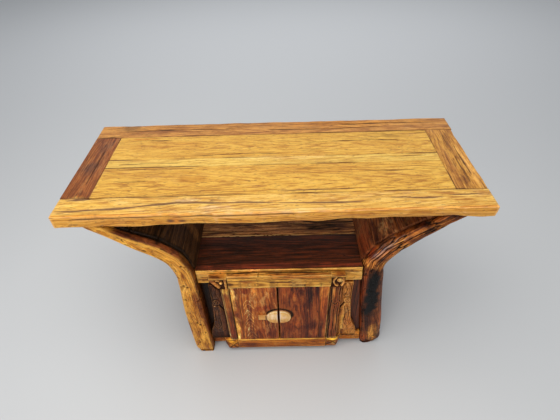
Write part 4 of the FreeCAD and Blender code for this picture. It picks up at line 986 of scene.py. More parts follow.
def leg(node, wood, seed, size, swell, table):
    """One branch: first swell, splits, pits and a worn foot, then bark, painted shade, patches and pale
    slivers.
    """
    piece = even_copy(node.replace("leg", "branch"), node, size, smooth=2)
    mesh = piece.data
    low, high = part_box(node)
    spots = points(mesh)
    line = course_of(spots)
    place = along_course(spots, line)
    side = "right" if "right" in node else "left"
    niche_side, amount, split_depth, split_dirt, heel, lift, bark_edge, bark_share = LEG_SIDES[side]
    bent = np.clip(1.15 - np.abs(place[:, 0] - 0.72) / 0.26, 0.05, 1)
    split = split_share(place, seed + 8, 0.09, amount * bent)
    pits = unit(layered_field(place * (50, 80, 80), seed + 6) - 0.33) * 7
    foot = unit(1 - spots[:, 2] / FOOT_HEIGHT) ** 2
    broad = layered_field(place * (7, 16, 16), seed) * swell
    fine = layered_field(place * (9, 120, 120), seed + 4) * 0.0009
    worn = foot * FOOT_WEAR * (0.8 + layered_field(place * (14, 14, 14), seed + 2) * 0.5)
    outer = unit((-niche_side * place[:, 1] + heel) / 0.045)
    sunk = split * split_depth + np.minimum(pits, 1) * PIT_DEPTH
    moved = np.where(spots[:, 2] > HEAD_LEVEL + 0.002, 0, broad + fine - sunk)
    sideways = outward_at(mesh) * (1, 1, 0)
    spots = spots + outward_at(mesh) * moved[:, None] - sideways * worn[:, None]
    spots[:, 2] += outer * unit(1 - spots[:, 2] / 0.06) ** 2 * lift
    set_points(mesh, spots)
    keep_inside(mesh, low, high)
    spots = points(mesh)
    place = along_course(spots, line)
    outward = outward_at(mesh)
    mottled = 1 + 1.5 * layered_field(spots * (60, 60, 60), seed + 12)[:, None]
    upper = unit((niche_side * place[:, 1] - bark_edge) / 0.005)
    upper = upper * unit((place[:, 0] - 0.50) / 0.06)
    facing = unit(outward[:, 2] * 2.2 - 0.35) * unit((0.8 - spots[:, 2]) / 0.02)
    bark = np.maximum(upper * bark_share, facing * (place[:, 0] > 0.45))[:, None]
    # Bark lying further back than BARK_REACH from the leg's front is painted into shadow.
    behind = unit((spots[:, 1] - low.y - BARK_REACH) / 0.006)[:, None]
    tint = np.array(RIGHT_BARK) if side == "right" else mixed(np.array(BARK), BARK_IN_SHADOW, behind)
    colours = 1 - bark * (1 - tint * mottled)
    # The side that faces the cupboard is painted into shade low on the shank.
    inward = unit(-niche_side * outward[:, 0] * 2 - 0.7) * unit((0.56 - spots[:, 2]) / 0.06)
    shaded = inward[:, None]
    colours = 1 - (1 - colours) * (1 - shaded) - shaded * (1 - np.array(INNER_SIDE_SHADE) * mottled)
    colours = blots(spots, seed, table, colours)
    if side == "right":
        bend = unit(1.5 - np.abs(place[:, 0] - 0.65) / 0.06)
        pale = split_share(place + (0.3, 0.11, 0), seed + 31, 0.065, bend)
        pale = (pale * unit((place[:, 1] + 0.008) / 0.01) * (1 - bark[:, 0]))[:, None]
        colours = mixed(colours, GREY, pale)
    grime_and_shade = split * split_dirt + np.minimum(pits, 1) * 0.4 + foot * 0.2
    rub = 0.8 * (1 - np.maximum(bark[:, 0], inward))
    mark(mesh, place, seed, colours, wear=rub, extra_dirt_and_shade=grime_and_shade)
    settle(piece, node, wood)


for node, (wood, seed, size, swell, table) in LEG_LOOKS.items():
    leg(node, wood, seed, size, swell, table)
print("legs: 4 branches")

# %% [markdown]
# ## Plain aged pieces
# Boards, rails and battens that carry no ornament share one recipe: an even copy of the CAD piece,
# rippled along its grain, with its own wood, and soft patches of colour where the photograph shows
# them. The even copy keeps the tenons, notches and grooves that the joiner cut.

# %% Recipe for a plain piece
def aged(node, wood, along, size, seed, depth=0.0005, coarse=0.001, table=(), strokes=(), shape=None,
         wear=1.0, dirt=0.7):
    """An even, rippled copy of a CAD piece; shape may carve it first and tells where dirt and painted shade
    lie.
    """
    piece = even_copy(node + "_worn", node, size, smooth=1)
    mesh = piece.data
    grime_and_shade = shape(mesh) if shape else None
    ripple(mesh, along, seed, depth, coarse)
    keep_inside(mesh, *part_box(node))
    colours = stroked(points(mesh), seed, strokes, blots(points(mesh), seed, table))
    mark(mesh, along, seed, colours, wear=wear, dirt=dirt, extra_dirt_and_shade=grime_and_shade)
    settle(piece, node, wood)
    return piece


def two_wood(piece, wood, chosen):
    """Show another wood on the faces whose middles the test picks."""
    mesh = piece.data
    mesh.materials.append(WOODS[wood])
    middles = np.empty(len(mesh.polygons) * 3)
    mesh.polygons.foreach_get("center", middles)
    picked = chosen(middles.reshape(-1, 3))
    mesh.polygons.foreach_set("material_index", picked.astype(np.int32))


# %% [markdown]
# The walls of the niche are boards let in between the branches, four to a side, whose grain runs
# from front to back. The left ones are almost black. The right ones are redder, with a golden patch
# of painted light where the light falls in; the left ones carry such patches too.

# %% Walls of the niche
WALL_LOOKS = {
    "left": ("wall_dark", [
        ((-0.48, -0.233, 0.70), (0.5, 0.009, 0.5), (0.25, 0.25, 0.25)),
        ((-0.58, -0.12, 0.79), (0.10, 0.14, 0.06), (0.4, 0.45, 0.5)),
        # Patches of painted light where the light falls in.
        ((-0.33, -0.10, 0.62), (0.06, 0.03, 0.09), (2.7, 2.8, 2.5)),
        ((-0.40, -0.02, 0.68), (0.07, 0.03, 0.07), (2.2, 2.2, 2.1))]),
    "right": ("wall_red", [
        ((0.48, -0.233, 0.70), (0.5, 0.009, 0.5), (0.4, 0.3, 0.3)),
        ((0.33, -0.14, 0.60), (0.03, 0.1, 0.05), (1.2, 0.8, 0.75)),
        # Patches of painted light where the light falls in.
        ((0.40, -0.15, 0.68), (0.03, 0.07, 0.04), (2.9, 3.8, 3.9)),
        ((0.38, -0.08, 0.66), (0.03, 0.05, 0.04), (1.8, 2.0, 1.6)),
        ((0.48, -0.12, 0.73), (0.05, 0.12, 0.04), (0.75, 0.75, 0.7)),
        ((0.58, -0.12, 0.78), (0.06, 0.14, 0.05), (0.45, 0.45, 0.45))]),
}
for number, (side, (wood, table)) in enumerate(WALL_LOOKS.items()):
    for row, course in enumerate(("lower", "middle", "upper", "top")):
        aged(f"wall_board_{side}_{course}", wood, "y", 0.0042, 50 + number * 10 + row, depth=0.0012,
             coarse=0.002, table=table, wear=0)
print("walls: 8 boards")

# %% [markdown]
# The shelf is two kinds of plank. The front one is dark red and polished, with a bare golden front
# edge. The ones behind it were left as the saw and the weather left them: deep furrows, and a
# front edge that wanders. That edge is drawn back from the front plank, so that a dark gap shows.

# %% Shelf
shelf_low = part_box("shelf_front_plank")[0]
rough_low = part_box("shelf_middle_plank")[0]


def rough_sawn(mesh):
    spots = points(mesh)
    near = unit(1 - (spots[:, 1] - rough_low.y) / 0.02)
    wave = unit(0.4 + layered_field(spots * (9, 0, 0), 72))
    chips = unit(layered_field(spots * (45, 0, 20), 75))
    spots[:, 1] += near * (wave * 0.007 + chips * 0.006)
    set_points(mesh, spots)
    furrow = np.abs(layered_field(spots * (2.5, 55, 55), 76))
    sunk = bell(furrow, 0.05)
    set_points(mesh, spots - outward_at(mesh) * (sunk * 0.0028)[:, None])
    return sunk * 0.75 + np.clip(layered_field(spots * (5, 18, 0), 77) * 1.4, 0, 0.6)


# Near black, used as painted shade in narrow gaps.
GAP_SHADE = (0.02, 0.02, 0.02)
SHELF_BLOTS = top_patches([
    (0.0, -0.228, 0.36, 0.016, (2.3, 1.8, 2.0)),
    (-0.05, -0.13, 0.22, 0.03, (0.75, 0.75, 0.8)),
    (-0.1, -0.17, 0.2, 0.02, (1.25, 1.2, 1.1))], 0.03, 0.555)
# Painted shade in the gap between the shelf's front edge and the ledge, then a painted highlight along the
# edge's upper arris and a lighter patch at its left end.
SHELF_EDGE_SHADE_AND_HIGHLIGHT = front_lines([
    (-0.256, 0.542, 0.02, 0.5425, 0.0025, GAP_SHADE),
    (0.02, 0.5425, 0.268, 0.543, 0.0026, GAP_SHADE),
    (-0.29, 0.552, 0.31, 0.552, 0.0020, (1.3, 1.5, 1.7)),
    (-0.29, 0.537, -0.262, 0.537, 0.012, (1.35, 1.4, 1.7))], -0.246)
piece = aged("shelf_front_plank", "shelf_red", "x", 0.0024, 71, table=SHELF_BLOTS, strokes=SHELF_EDGE_SHADE_AND_HIGHLIGHT,
             wear=0.6)
two_wood(piece, "olive_gold", lambda at: at[:, 1] < shelf_low.y + 0.0035)
aged("shelf_front_rail", "olive_gold", "x", 0.0035, 74)
aged("shelf_back_rail", "olive_gold", "x", 0.005, 75)
ROUGH_BLOTS = top_patches([
    (0.05, -0.06, 0.35, 0.02, (1.15, 1.1, 1.0)),
    (-0.2, 0.0, 0.1, 0.03, (0.6, 0.55, 0.5)),
    (0.22, -0.02, 0.1, 0.03, (0.7, 0.65, 0.6))], 0.03, 0.555)
aged("shelf_middle_plank", "shelf_rough", "x", 0.0028, 73, depth=0.0016, coarse=0.003, table=ROUGH_BLOTS,
     shape=rough_sawn)
aged("shelf_back_plank", "shelf_rough", "x", 0.0035, 76, depth=0.0016, coarse=0.003)
print("shelf: 5 pieces")

# %% [markdown]
# ## Carving
# Carved work is relief cut into a flat board: the ground is sunk and the pattern keeps the old
# face. Each form is an outline of a few points that a smooth curve joins. Inside it the wood is
# rounded over towards its edge, outside it the ground is cut back, and a chisel line is a groove
# along a curve. The boards carry a bud above, a curl in the middle and a pear-shaped leaf below,
# one the mirror of the other.
# The left one has a dark finish as painted shade, with painted light near its inner edge.

# %% Chisel work
def facing_front(mesh):
    return unit(-outward_at(mesh)[:, 1] * 1.5 - 0.3)


def sink_front(mesh, depth):
    spots = points(mesh)
    spots[:, 1] += depth * facing_front(mesh)
    set_points(mesh, spots)


def smooth_curve(corners, closed=False, count=5):
    """More points on a smooth curve through a few."""
    corners = np.array(corners)
    before = corners[-1:] if closed else 2 * corners[:1] - corners[1:2]
    after = corners[:2] if closed else 2 * corners[-1:] - corners[-2:-1]
    padded = np.concatenate((before, corners, after))
    share = np.arange(count)[:, None] / count
    pieces = []
    for before, start, end, after in zip(padded, padded[1:], padded[2:], padded[3:]):
        pieces.append(start + share * (end - before) / 2
                      + share ** 2 * (before - 2.5 * start + 2 * end - after / 2)
                      + share ** 3 * (3 * start - before - 3 * end + after) / 2)
    return np.concatenate(pieces + [padded[-2:-1]])


def wandering(place, spots, scale, seed, size):
    """Flat places, each moved aside a little, so that what is cut along them isn't ruled."""
    aside = [layered_field(spots * scale, seed + step) for step in (0, 3)]
    return place + np.stack(aside, axis=1) * size


def line_gap(place, line):
    """Distance from each place to a curve of points."""
    gap = np.full(len(place), 9.0)
    for start, end in zip(line[:-1], line[1:]):
        gap = np.minimum(gap, segment_gap(place, start, end))
    return gap


def within(place, outline):
    """Whether each place lies inside a closed outline."""
    inside = np.zeros(len(place), dtype=bool)
    for (x0, z0), (x1, z1) in zip(outline[:-1], outline[1:]):
        crosses = (z0 > place[:, 1]) != (z1 > place[:, 1])
        inside ^= crosses & (place[:, 0] < x0 + (place[:, 1] - z0) * (x1 - x0) / (z1 - z0 + 1e-12))
    return inside


# %% Carved boards
GROUND = 0.0055
ROUND_OVER = 0.009
FORMS = [[(0.008, 0.315), (0.009, 0.350), (0.022, 0.374), (0.034, 0.357), (0.040, 0.325), (0.037, 0.292),
          (0.022, 0.286)],
         [(0.014, 0.262), (0.022, 0.279), (0.036, 0.280), (0.045, 0.265), (0.039, 0.249), (0.024, 0.247)],
         [(0.018, 0.236), (0.007, 0.200), (0.006, 0.110), (0.020, 0.052), (0.050, 0.047), (0.072, 0.070),
          (0.073, 0.130), (0.066, 0.180), (0.053, 0.220), (0.042, 0.240), (0.030, 0.240)]]
VEINS = [[(0.018, 0.296), (0.024, 0.325), (0.020, 0.352)],
         [(0.032, 0.268), (0.036, 0.260), (0.028, 0.256), (0.024, 0.266), (0.032, 0.274)],
         [(0.046, 0.228), (0.058, 0.180), (0.062, 0.120), (0.050, 0.080), (0.034, 0.090), (0.036, 0.112),
          (0.048, 0.112)],
         [(0.022, 0.222), (0.030, 0.170), (0.026, 0.120), (0.030, 0.060)],
         [(0.034, 0.220), (0.044, 0.175), (0.044, 0.140)]]
EDGE_CRACK = [(0.020, 0.243), (0.010, 0.222), (0.001, 0.201)]


def carved_board(side, wood, seed, darkness, table):
    """A carved board; its forms are measured from its inner edge, so both sides mirror each other."""
    node = f"carved_board_{side}"
    low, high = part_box(node)
    inner = high.x if side == "left" else low.x

    def relief(mesh):
        spots = points(mesh)
        place = np.stack([np.abs(spots[:, 0] - inner), spots[:, 2] - low.z], axis=1)
        place = wandering(place, spots, 60, seed + 3, 0.0022)
        height = unit(1 - place[:, 0] / 0.003)
        outline_dirt = np.zeros(len(spots))
        for form in FORMS:
            outline = smooth_curve(form, closed=True)
            gap = line_gap(place, outline)
            inside = within(place, outline)
            dome = 0.4 + 0.6 * unit(gap / ROUND_OVER) ** 0.7
            height = np.maximum(height, np.where(inside, dome, 0))
            outline_dirt = np.maximum(outline_dirt, bell(gap, 0.0020) * np.where(inside, 0.3, 1))
        vein = np.zeros(len(spots))
        for line in VEINS:
            vein = np.maximum(vein, bell(line_gap(place, smooth_curve(line)), 0.0016))
        crack = bell(line_gap(place, smooth_curve(EDGE_CRACK)), 0.0026)
        worn = np.clip(0.85 + layered_field(spots * 50, seed) * 0.6, 0.4, 1)
        sink_front(mesh, GROUND * (1 - height * worn) + vein * 0.0025 + crack * 0.005)
        broken = np.clip(0.55 + 3.0 * layered_field(spots * 55, seed + 21), 0.05, 1)
        drawn = (outline_dirt * 0.9 + vein * 0.6) * broken * darkness
        return unit(drawn + crack + (1 - height) * 0.12)
    # Painted shade along the board's foot, where it meets the rail below.
    foot = ((low.x, low.y, low.z), (high.x, low.y, low.z), 0.006, (0.05, 0.04, 0.04))
    aged(node, wood, "z", 0.0017, seed, depth=0.0009, coarse=0.0022, shape=relief, table=table,
         strokes=[foot])


# The left board's dark finish is painted shade; its light patches near the inner edge are painted light.
carved_board("left", "carved_in_shade", 92, 0.8, front_patches([
    (-0.257, 0.338, 0.008, 0.010, (3.0, 3.6, 4.0)),
    (-0.250, 0.285, 0.014, 0.03, (1.8, 1.6, 1.5)),
    (-0.255, 0.40, 0.010, 0.05, (1.5, 1.7, 1.6)),
    (-0.242, 0.304, 0.005, 0.008, (0.15, 0.15, 0.15))], -0.25))
carved_board("right", "carved_gold", 93, 0.7, front_patches([
    (0.268, 0.20, 0.009, 0.07, (1.3, 1.7, 1.6)),
    (0.30, 0.19, 0.03, 0.05, (0.95, 0.8, 0.75)),
    (0.292, 0.475, 0.012, 0.02, (1.25, 1.3, 1.2))], -0.25))

# %% [markdown]
# The capitals are small blocks under the ends of the ledge. Their top is part of the ledge and
# keeps its plain gold wood. Below it the left one has a bead between a slanted wing and an upright
# bar, and the right one a rosette in a ring. Both are cut away to a slant on the outside.

# %% Capitals
LEDGE_DEPTH = 0.011
SLANT_TOP = 0.517
CAPITAL_SLANT = {"left": 0.46, "right": 0.12}
CAPITAL_RELIEF = 0.009


def capital(side, seed, forms, table):
    """A capital whose forms are points and lines, each with the radius that it is rounded over."""
    node = f"capital_{side}"
    low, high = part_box(node)
    outer, sign = (low.x, 1) if side == "left" else (high.x, -1)

    def relief(mesh):
        spots = points(mesh)
        slant = np.clip(SLANT_TOP - spots[:, 2], 0, 0.05) * CAPITAL_SLANT[side]
        inset = np.maximum(slant - (spots[:, 0] - outer) * sign, 0)
        spots[:, 0] += sign * inset
        set_points(mesh, spots)
        place = spots[:, (0, 2)]
        uneven = wandering(place, spots, 80, seed, 0.0035)
        height = np.zeros(len(spots))
        for line, size in forms:
            if len(line) > 1:
                gap = line_gap(uneven, smooth_curve(line))
            else:
                gap = np.linalg.norm(uneven - line[0], axis=1)
            height = np.maximum(height, unit(1 - (gap / size) ** 2) ** 0.5)
        ledge = unit((spots[:, 2] - high.z + LEDGE_DEPTH) / 0.0015)
        height = np.maximum(height, ledge)
        sink_front(mesh, CAPITAL_RELIEF * (1 - height))
        return unit((1 - height) ** 1.5 * 1.1)
    piece = aged(node, "carved_gold", "x", 0.0016, seed, depth=0.0006, shape=relief, table=table)
    two_wood(piece, "olive_gold", lambda at: at[:, 2] > high.z - LEDGE_DEPTH)


capital("left", 90,
        [([(-0.208, 0.506)], 0.0078), ([(-0.190, 0.474), (-0.190, 0.526)], 0.006),
         ([(-0.246, 0.524), (-0.232, 0.506), (-0.219, 0.482)], 0.0085),
         ([(-0.224, 0.522), (-0.214, 0.520)], 0.004)],
        front_patches([
            # A painted highlight on the bead.
            (-0.208, 0.507, 0.007, 0.008, (1.8, 2.2, 2.4)),
            (-0.192, 0.494, 0.005, 0.03, (1.6, 1.8, 1.7)),
            (-0.235, 0.505, 0.014, 0.02, (1.05, 1.0, 1.1))], -0.268) + [
            ((-0.215, -0.258, 0.541), (0.04, 0.02, 0.006), (0.7, 0.55, 0.5))])
capital("right", 91,
        [([(0.238, 0.508)], 0.0115),
         ([(0.223, 0.528), (0.216, 0.512), (0.218, 0.490), (0.230, 0.478)], 0.004),
         ([(0.250, 0.524), (0.252, 0.500), (0.246, 0.478)], 0.005)],
        front_patches([
            # Painted highlights on the rosette and down the left side of its ring.
            (0.232, 0.502, 0.030, 0.03, (2.5, 3.4, 4.8)),
            (0.238, 0.509, 0.013, 0.013, (2.5, 4.8, 8.0)),
            (0.218, 0.506, 0.006, 0.020, (1.4, 1.8, 2.0))], -0.268) + [
            ((0.235, -0.258, 0.541), (0.03, 0.02, 0.006), (0.6, 0.42, 0.4))])
print("carved: 2 boards, 2 capitals")

# %% [markdown]
# ## The front of the cupboard
# The posts, rails and blocks are hand cut. The left post has a broad chamfer that has worn to bare
# gold, the right one is split into ribs. A patch was let into the ledge of the lintel, and the
# corner blocks are cut to facets that meet in a cross.
# The tops of the corner blocks are painted lighter, as lit.

# %% Posts
post_left_low, post_left_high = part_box("post_left")
post_right_low, post_right_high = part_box("post_right")
CHAMFER = 0.010
POST_CUTS = [([(0.212, 0.47), (0.211, 0.10)], 0.0028, 0.005),
             ([(0.228, 0.47), (0.227, 0.37)], 0.0016, 0.002),
             ([(0.229, 0.34), (0.226, 0.12)], 0.0016, 0.002),
             ([(0.246, 0.47), (0.241, 0.404), (0.244, 0.372)], 0.0026, 0.005),
             ([(0.219, 0.362), (0.229, 0.352), (0.237, 0.366)], 0.0022, 0.004),
             ([(0.244, 0.33), (0.241, 0.25), (0.243, 0.16)], 0.0018, 0.003)]


def chamfered_post(mesh):
    spots = points(mesh)
    from_side = spots[:, 0] - post_left_low.x
    from_top = post_left_high.z - spots[:, 2]
    spots[:, 1] = np.maximum(spots[:, 1], post_left_low.y + (CHAMFER - from_side) * 0.9)
    cap = unit((0.036 - from_top) / 0.036) * np.where(from_side > 0.003, 1, 0)
    spots[:, 1] += np.where(spots[:, 1] < post_left_low.y + 0.012, cap * 0.007, 0)
    set_points(mesh, spots)


def ribbed_post(mesh):
    spots = points(mesh)
    grime_and_shade = np.zeros(len(spots))
    place = spots[:, (0, 2)]
    place = place + np.stack([layered_field(spots * (0, 0, 20), 96), place[:, 0] * 0], axis=1) * 0.004
    for line, width, depth in POST_CUTS:
        cut = bell(line_gap(place, np.array(line)), width)
        cut *= np.clip(0.7 + layered_field(spots * (0, 0, 30), 99) * 1.4, 0.1, 1)
        sink_front(mesh, cut * depth)
        grime_and_shade = np.maximum(grime_and_shade, cut)
    return grime_and_shade


CAP_GOLD, ARRIS_GOLD, LOW_RED = (2.3, 4.2, 4.0), (4.2, 13.0, 24.0), (1.1, 0.75, 0.8)
FOOT_GOLD = (2.8, 5.5, 7.0)
arris_x = post_left_low.x + 0.004
WORN_ARRIS = front_lines([(arris_x, 0.445, arris_x, 0.12, 0.0022, ARRIS_GOLD)], -0.2575)
aged("post_left", "post_brown", "z", 0.002, 88, shape=chamfered_post,
     table=front_patches([
         (-0.2, 0.452, 0.03, 0.022, CAP_GOLD),
         (-0.198, 0.16, 0.03, 0.06, LOW_RED),
         (-0.200, 0.37, 0.02, 0.07, (1.5, 1.8, 1.6))]),
     strokes=WORN_ARRIS + front_lines([
         (post_left_low.x, 0.100, post_left_high.x, 0.100, 0.007, FOOT_GOLD),
         (post_left_low.x, 0.110, post_left_high.x, 0.108, 0.0026, BLACK),
         # Painted shade down the post's right edge, in the gap beside the door.
         (post_left_high.x - 0.001, 0.46, post_left_high.x - 0.001, 0.10, 0.0022, BLACK)]),
     wear=0.3)
aged("post_right", "post_brown", "z", 0.0018, 89, shape=ribbed_post, depth=0.0009, wear=0.7,
     table=front_patches([
         (0.235, 0.40, 0.02, 0.06, (1.25, 1.2, 1.1)),
         # Painted highlights on the ribs.
         (0.220, 0.42, 0.006, 0.05, (2.0, 2.4, 2.2)),
         (0.236, 0.25, 0.005, 0.07, (2.1, 2.6, 2.4)),
         (0.222, 0.15, 0.007, 0.05, (0.4, 0.35, 0.35)),
         (0.219, 0.20, 0.012, 0.1, (1.2, 0.9, 0.9))]) + [
         # Painted shadow down the post's left edge, beside the door.
         ((0.204, -0.262, 0.30), (0.006, 0.03, 0.3), (0.25, 0.25, 0.25))],
     strokes=front_lines([
         (post_right_low.x, 0.100, post_right_high.x, 0.102, 0.007, FOOT_GOLD),
         (post_right_low.x, 0.109, post_right_high.x, 0.112, 0.0026, BLACK)]))


# %% Lintel and rails
lintel_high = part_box("lintel")[1]
PATCH_END = -0.066


def lintel_marks(mesh):
    spots = points(mesh)
    on_top = spots[:, 2] > lintel_high.z - 0.004
    joint = bell(spots[:, 0] - PATCH_END, 0.0012)
    spots[:, 2] -= np.where(on_top, joint * 0.002, 0)
    spots[:, 2] -= np.where(on_top & (spots[:, 0] > PATCH_END), 0.0012, 0)
    set_points(mesh, spots)
    # The back of the ledge's top is darkened as painted shade under the shelf's front edge; the patch joint
    # and the furrows are the wood's own dirt.
    back = unit((spots[:, 1] - (lintel_high.y - 0.006)) / 0.004)
    ragged = 0.6 + 1.2 * layered_field(spots * (18, 0, 0), 85)
    furrow = np.abs(layered_field(spots * (2.2, 40, 60), 84))
    streak = bell(furrow, 0.03) * 0.5
    return streak + np.where(on_top, joint * 0.8 + unit(back * 2 * ragged), 0)


LINTEL_BLOTS = front_patches([
    (-0.14, 0.540, 0.08, 0.006, (0.95, 0.75, 0.8)),
    (0.06, 0.540, 0.16, 0.006, (0.8, 0.62, 0.6))], -0.256, 0.014) + front_patches([
    (0.10, 0.530, 0.12, 0.008, (1.15, 0.85, 0.75)),
    (-0.107, 0.508, 0.03, 0.010, (0.7, 0.5, 0.4)),
    (-0.16, 0.51, 0.03, 0.025, (1.15, 1.2, 1.2))], -0.263)
LINTEL_STROKES = front_lines([
    (-0.19, 0.474, 0.21, 0.474, 0.0022, (1.5, 1.9, 2.2)),
    (0.03, 0.521, 0.205, 0.5215, 0.0016, (0.2, 0.15, 0.15)),
    (-0.12, 0.519, -0.02, 0.516, 0.0014, (0.3, 0.22, 0.2)),
    # A painted highlight down the lintel's right end.
    (0.213, 0.535, 0.213, 0.48, 0.0025, (1.6, 2.2, 2.8))], -0.263)
# The first patch paints light on the rail's top face; the one low on the left paints shade along the lower
# edge.
RAIL_BLOTS = [
    ((-0.05, -0.255, 0.095), (0.2, 0.012, 0.008), (1.5, 1.7, 1.6))] + front_patches([
    (0.12, 0.085, 0.1, 0.010, (1.4, 1.6, 1.4)),
    (-0.14, 0.05, 0.05, 0.03, (0.75, 0.6, 0.5)),
    (0.15, 0.07, 0.02, 0.008, (0.5, 0.35, 0.3))], -0.263)
# The first line is a painted highlight along the top arris, the second painted shade along the back of the
# top.
RAIL_STROKES = [
    ((-0.17, -0.262, 0.093), (0.20, -0.262, 0.093), 0.0022, (1.5, 2.0, 2.0)),
    ((-0.18, -0.247, 0.095), (0.20, -0.247, 0.095), 0.0035, (0.03, 0.02, 0.02))]
aged("lintel", "olive_gold", "x", 0.0021, 81, shape=lintel_marks, table=LINTEL_BLOTS, strokes=LINTEL_STROKES)
aged("bottom_rail", "rail_gold", "x", 0.0025, 82, table=RAIL_BLOTS, strokes=RAIL_STROKES)
aged("side_rail_left", "rail_gold", "x", 0.0025, 83, coarse=0.006,
     table=[((-0.27, -0.23, 0.09), (0.03, 0.03, 0.02), (1.5, 1.9, 1.8))])
aged("side_rail_right", "rail_gold", "x", 0.0025, 84, coarse=0.002,
     table=[
         ((0.31, -0.23, 0.08), (0.06, 0.03, 0.03), (1.5, 1.6, 1.5)),
         # The dark patch and the line paint shadow along the back of the top, under the carved board.
         ((0.31, -0.208, 0.095), (0.08, 0.008, 0.01), (0.1, 0.1, 0.1))],
     strokes=[((0.262, -0.222, 0.096), (0.345, -0.222, 0.096), 0.006, (0.03, 0.02, 0.02))])
aged("back_bottom_rail", "rail_gold", "x", 0.005, 85)


# %% Corner blocks
TIP_LEVEL = 0.072


def faceted(side, peak, falls):
    """Four facets that fall back from a peak: upwards, downwards, outwards and inwards."""
    low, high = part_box(f"corner_block_{side}")
    outer, inner, sign = (low.x, high.x, 1) if side == "left" else (high.x, low.x, -1)

    def cuts(mesh):
        spots = points(mesh)
        under_tip = np.clip(TIP_LEVEL - spots[:, 2], 0, 0.05) * 0.5
        spots[:, 0] += sign * np.maximum(under_tip - (spots[:, 0] - outer) * sign, 0)
        aside, above = spots[:, 0] - peak[0], spots[:, 2] - peak[1]
        ways = (above / (high.z - peak[1]), -above / (peak[1] - low.z), aside / (outer - peak[0]),
                aside / (inner - peak[0]))
        planes = np.stack([value * fall for value, fall in zip(ways, falls)])
        two = np.sort(planes, axis=0)
        seam = bell(two[-1] - two[-2], 0.0012)
        to_side = np.minimum(np.abs(spots[:, 0] - low.x), np.abs(spots[:, 0] - high.x))
        rim = bell(to_side, 0.0026)
        spots[:, 1] = np.maximum(spots[:, 1], low.y + np.maximum(two[-1], 0) + seam * 0.0015)
        set_points(mesh, spots)
        return np.maximum(seam, rim) * 0.95 * facing_front(mesh)
    return cuts


aged("corner_block_left", "rail_gold", "x", 0.0019, 86, coarse=0.0015,
     shape=faceted("left", (-0.206, 0.062), (0.020, 0.006, 0.014, 0.007)),
     table=front_patches([
         # Painted light on the top of the block.
         (-0.208, 0.086, 0.026, 0.014, (1.9, 3.1, 4.0)),
         (-0.215, 0.062, 0.012, 0.012, (1.5, 1.9, 2.0)),
         (-0.235, 0.055, 0.016, 0.03, (0.4, 0.32, 0.25)),
         (-0.200, 0.040, 0.016, 0.018, (0.7, 0.55, 0.4))]))
aged("corner_block_right", "rail_gold", "x", 0.0019, 87, coarse=0.0015,
     shape=faceted("right", (0.236, 0.078), (0.014, 0.010, 0.012, 0.008)),
     table=front_patches([
         # Painted light on the top of the block.
         (0.24, 0.090, 0.036, 0.014, (2.6, 5.0, 6.5)),
         (0.240, 0.060, 0.016, 0.020, (2.1, 3.5, 3.8)),
         (0.218, 0.070, 0.010, 0.016, (0.5, 0.4, 0.4)),
         (0.255, 0.068, 0.008, 0.016, (0.6, 0.5, 0.45))]))

# %% Boards behind the front
# The left recess panel is painted near black as shade.
aged("recess_panel_left", "shaded_recess", "z", 0.005, 100)
for seed, node in enumerate(("cabinet_side_left", "cabinet_side_right", "back_board_lower",
                             "back_board_upper"), 101):
    aged(node, "wall_dark", "z" if "side" in node else "x", 0.005, seed, depth=0.001, coarse=0.002)
aged("recess_panel_right", "shelf_red", "z", 0.005, 105)
for seed, node in enumerate(("cabinet_floor", "floor_cleats", "door_stop_strip"), 110):
    aged(node, "inner_plain", "x", 0.004, seed)
for seed, node in enumerate(("top_batten_left", "top_batten_right"), 114):
    aged(node, "russet_plank", "y", 0.005, seed)
print("cupboard: frame and boards")

# %% [markdown]
# ## Doors and lock
# Each leaf is a stile that turns on wooden pivots with a board joined to it. The boards are sunk a
# little round the grip and carry a painted shadow above it and to its right. The grip is pale and
# smooth, in two halves that the gap parts; a bolt slides through the left half into the right one.

# %% Doors
KEEPER_BOX = {side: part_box(f"keeper_{side}") for side in ("left", "right")}
GRIP_MIDDLE = ((KEEPER_BOX["left"][1].x + KEEPER_BOX["right"][0].x) / 2,
               (KEEPER_BOX["left"][0].z + KEEPER_BOX["left"][1].z) / 2)
GRIP_HALF = (0.0500, 0.0405)


def grip_shadow(mesh):
    """A hollow round the grip, deeper above it and to its right, and the mask of its painted shadow."""
    spots = points(mesh)
    sideways = (spots[:, 0] - GRIP_MIDDLE[0] - 0.003) / (GRIP_HALF[0] + 0.003)
    upwards = (spots[:, 2] - GRIP_MIDDLE[1] - 0.006) / (GRIP_HALF[1] + 0.003)
    ring = bell(np.hypot(sideways, upwards) - 1, 0.12)
    ring = ring * unit(0.6 + upwards + 0.4 * sideways)
    sink_front(mesh, ring * 0.002)
    # The ring is the painted shadow, written into the dirt attribute.
    return unit(ring * 1.4)


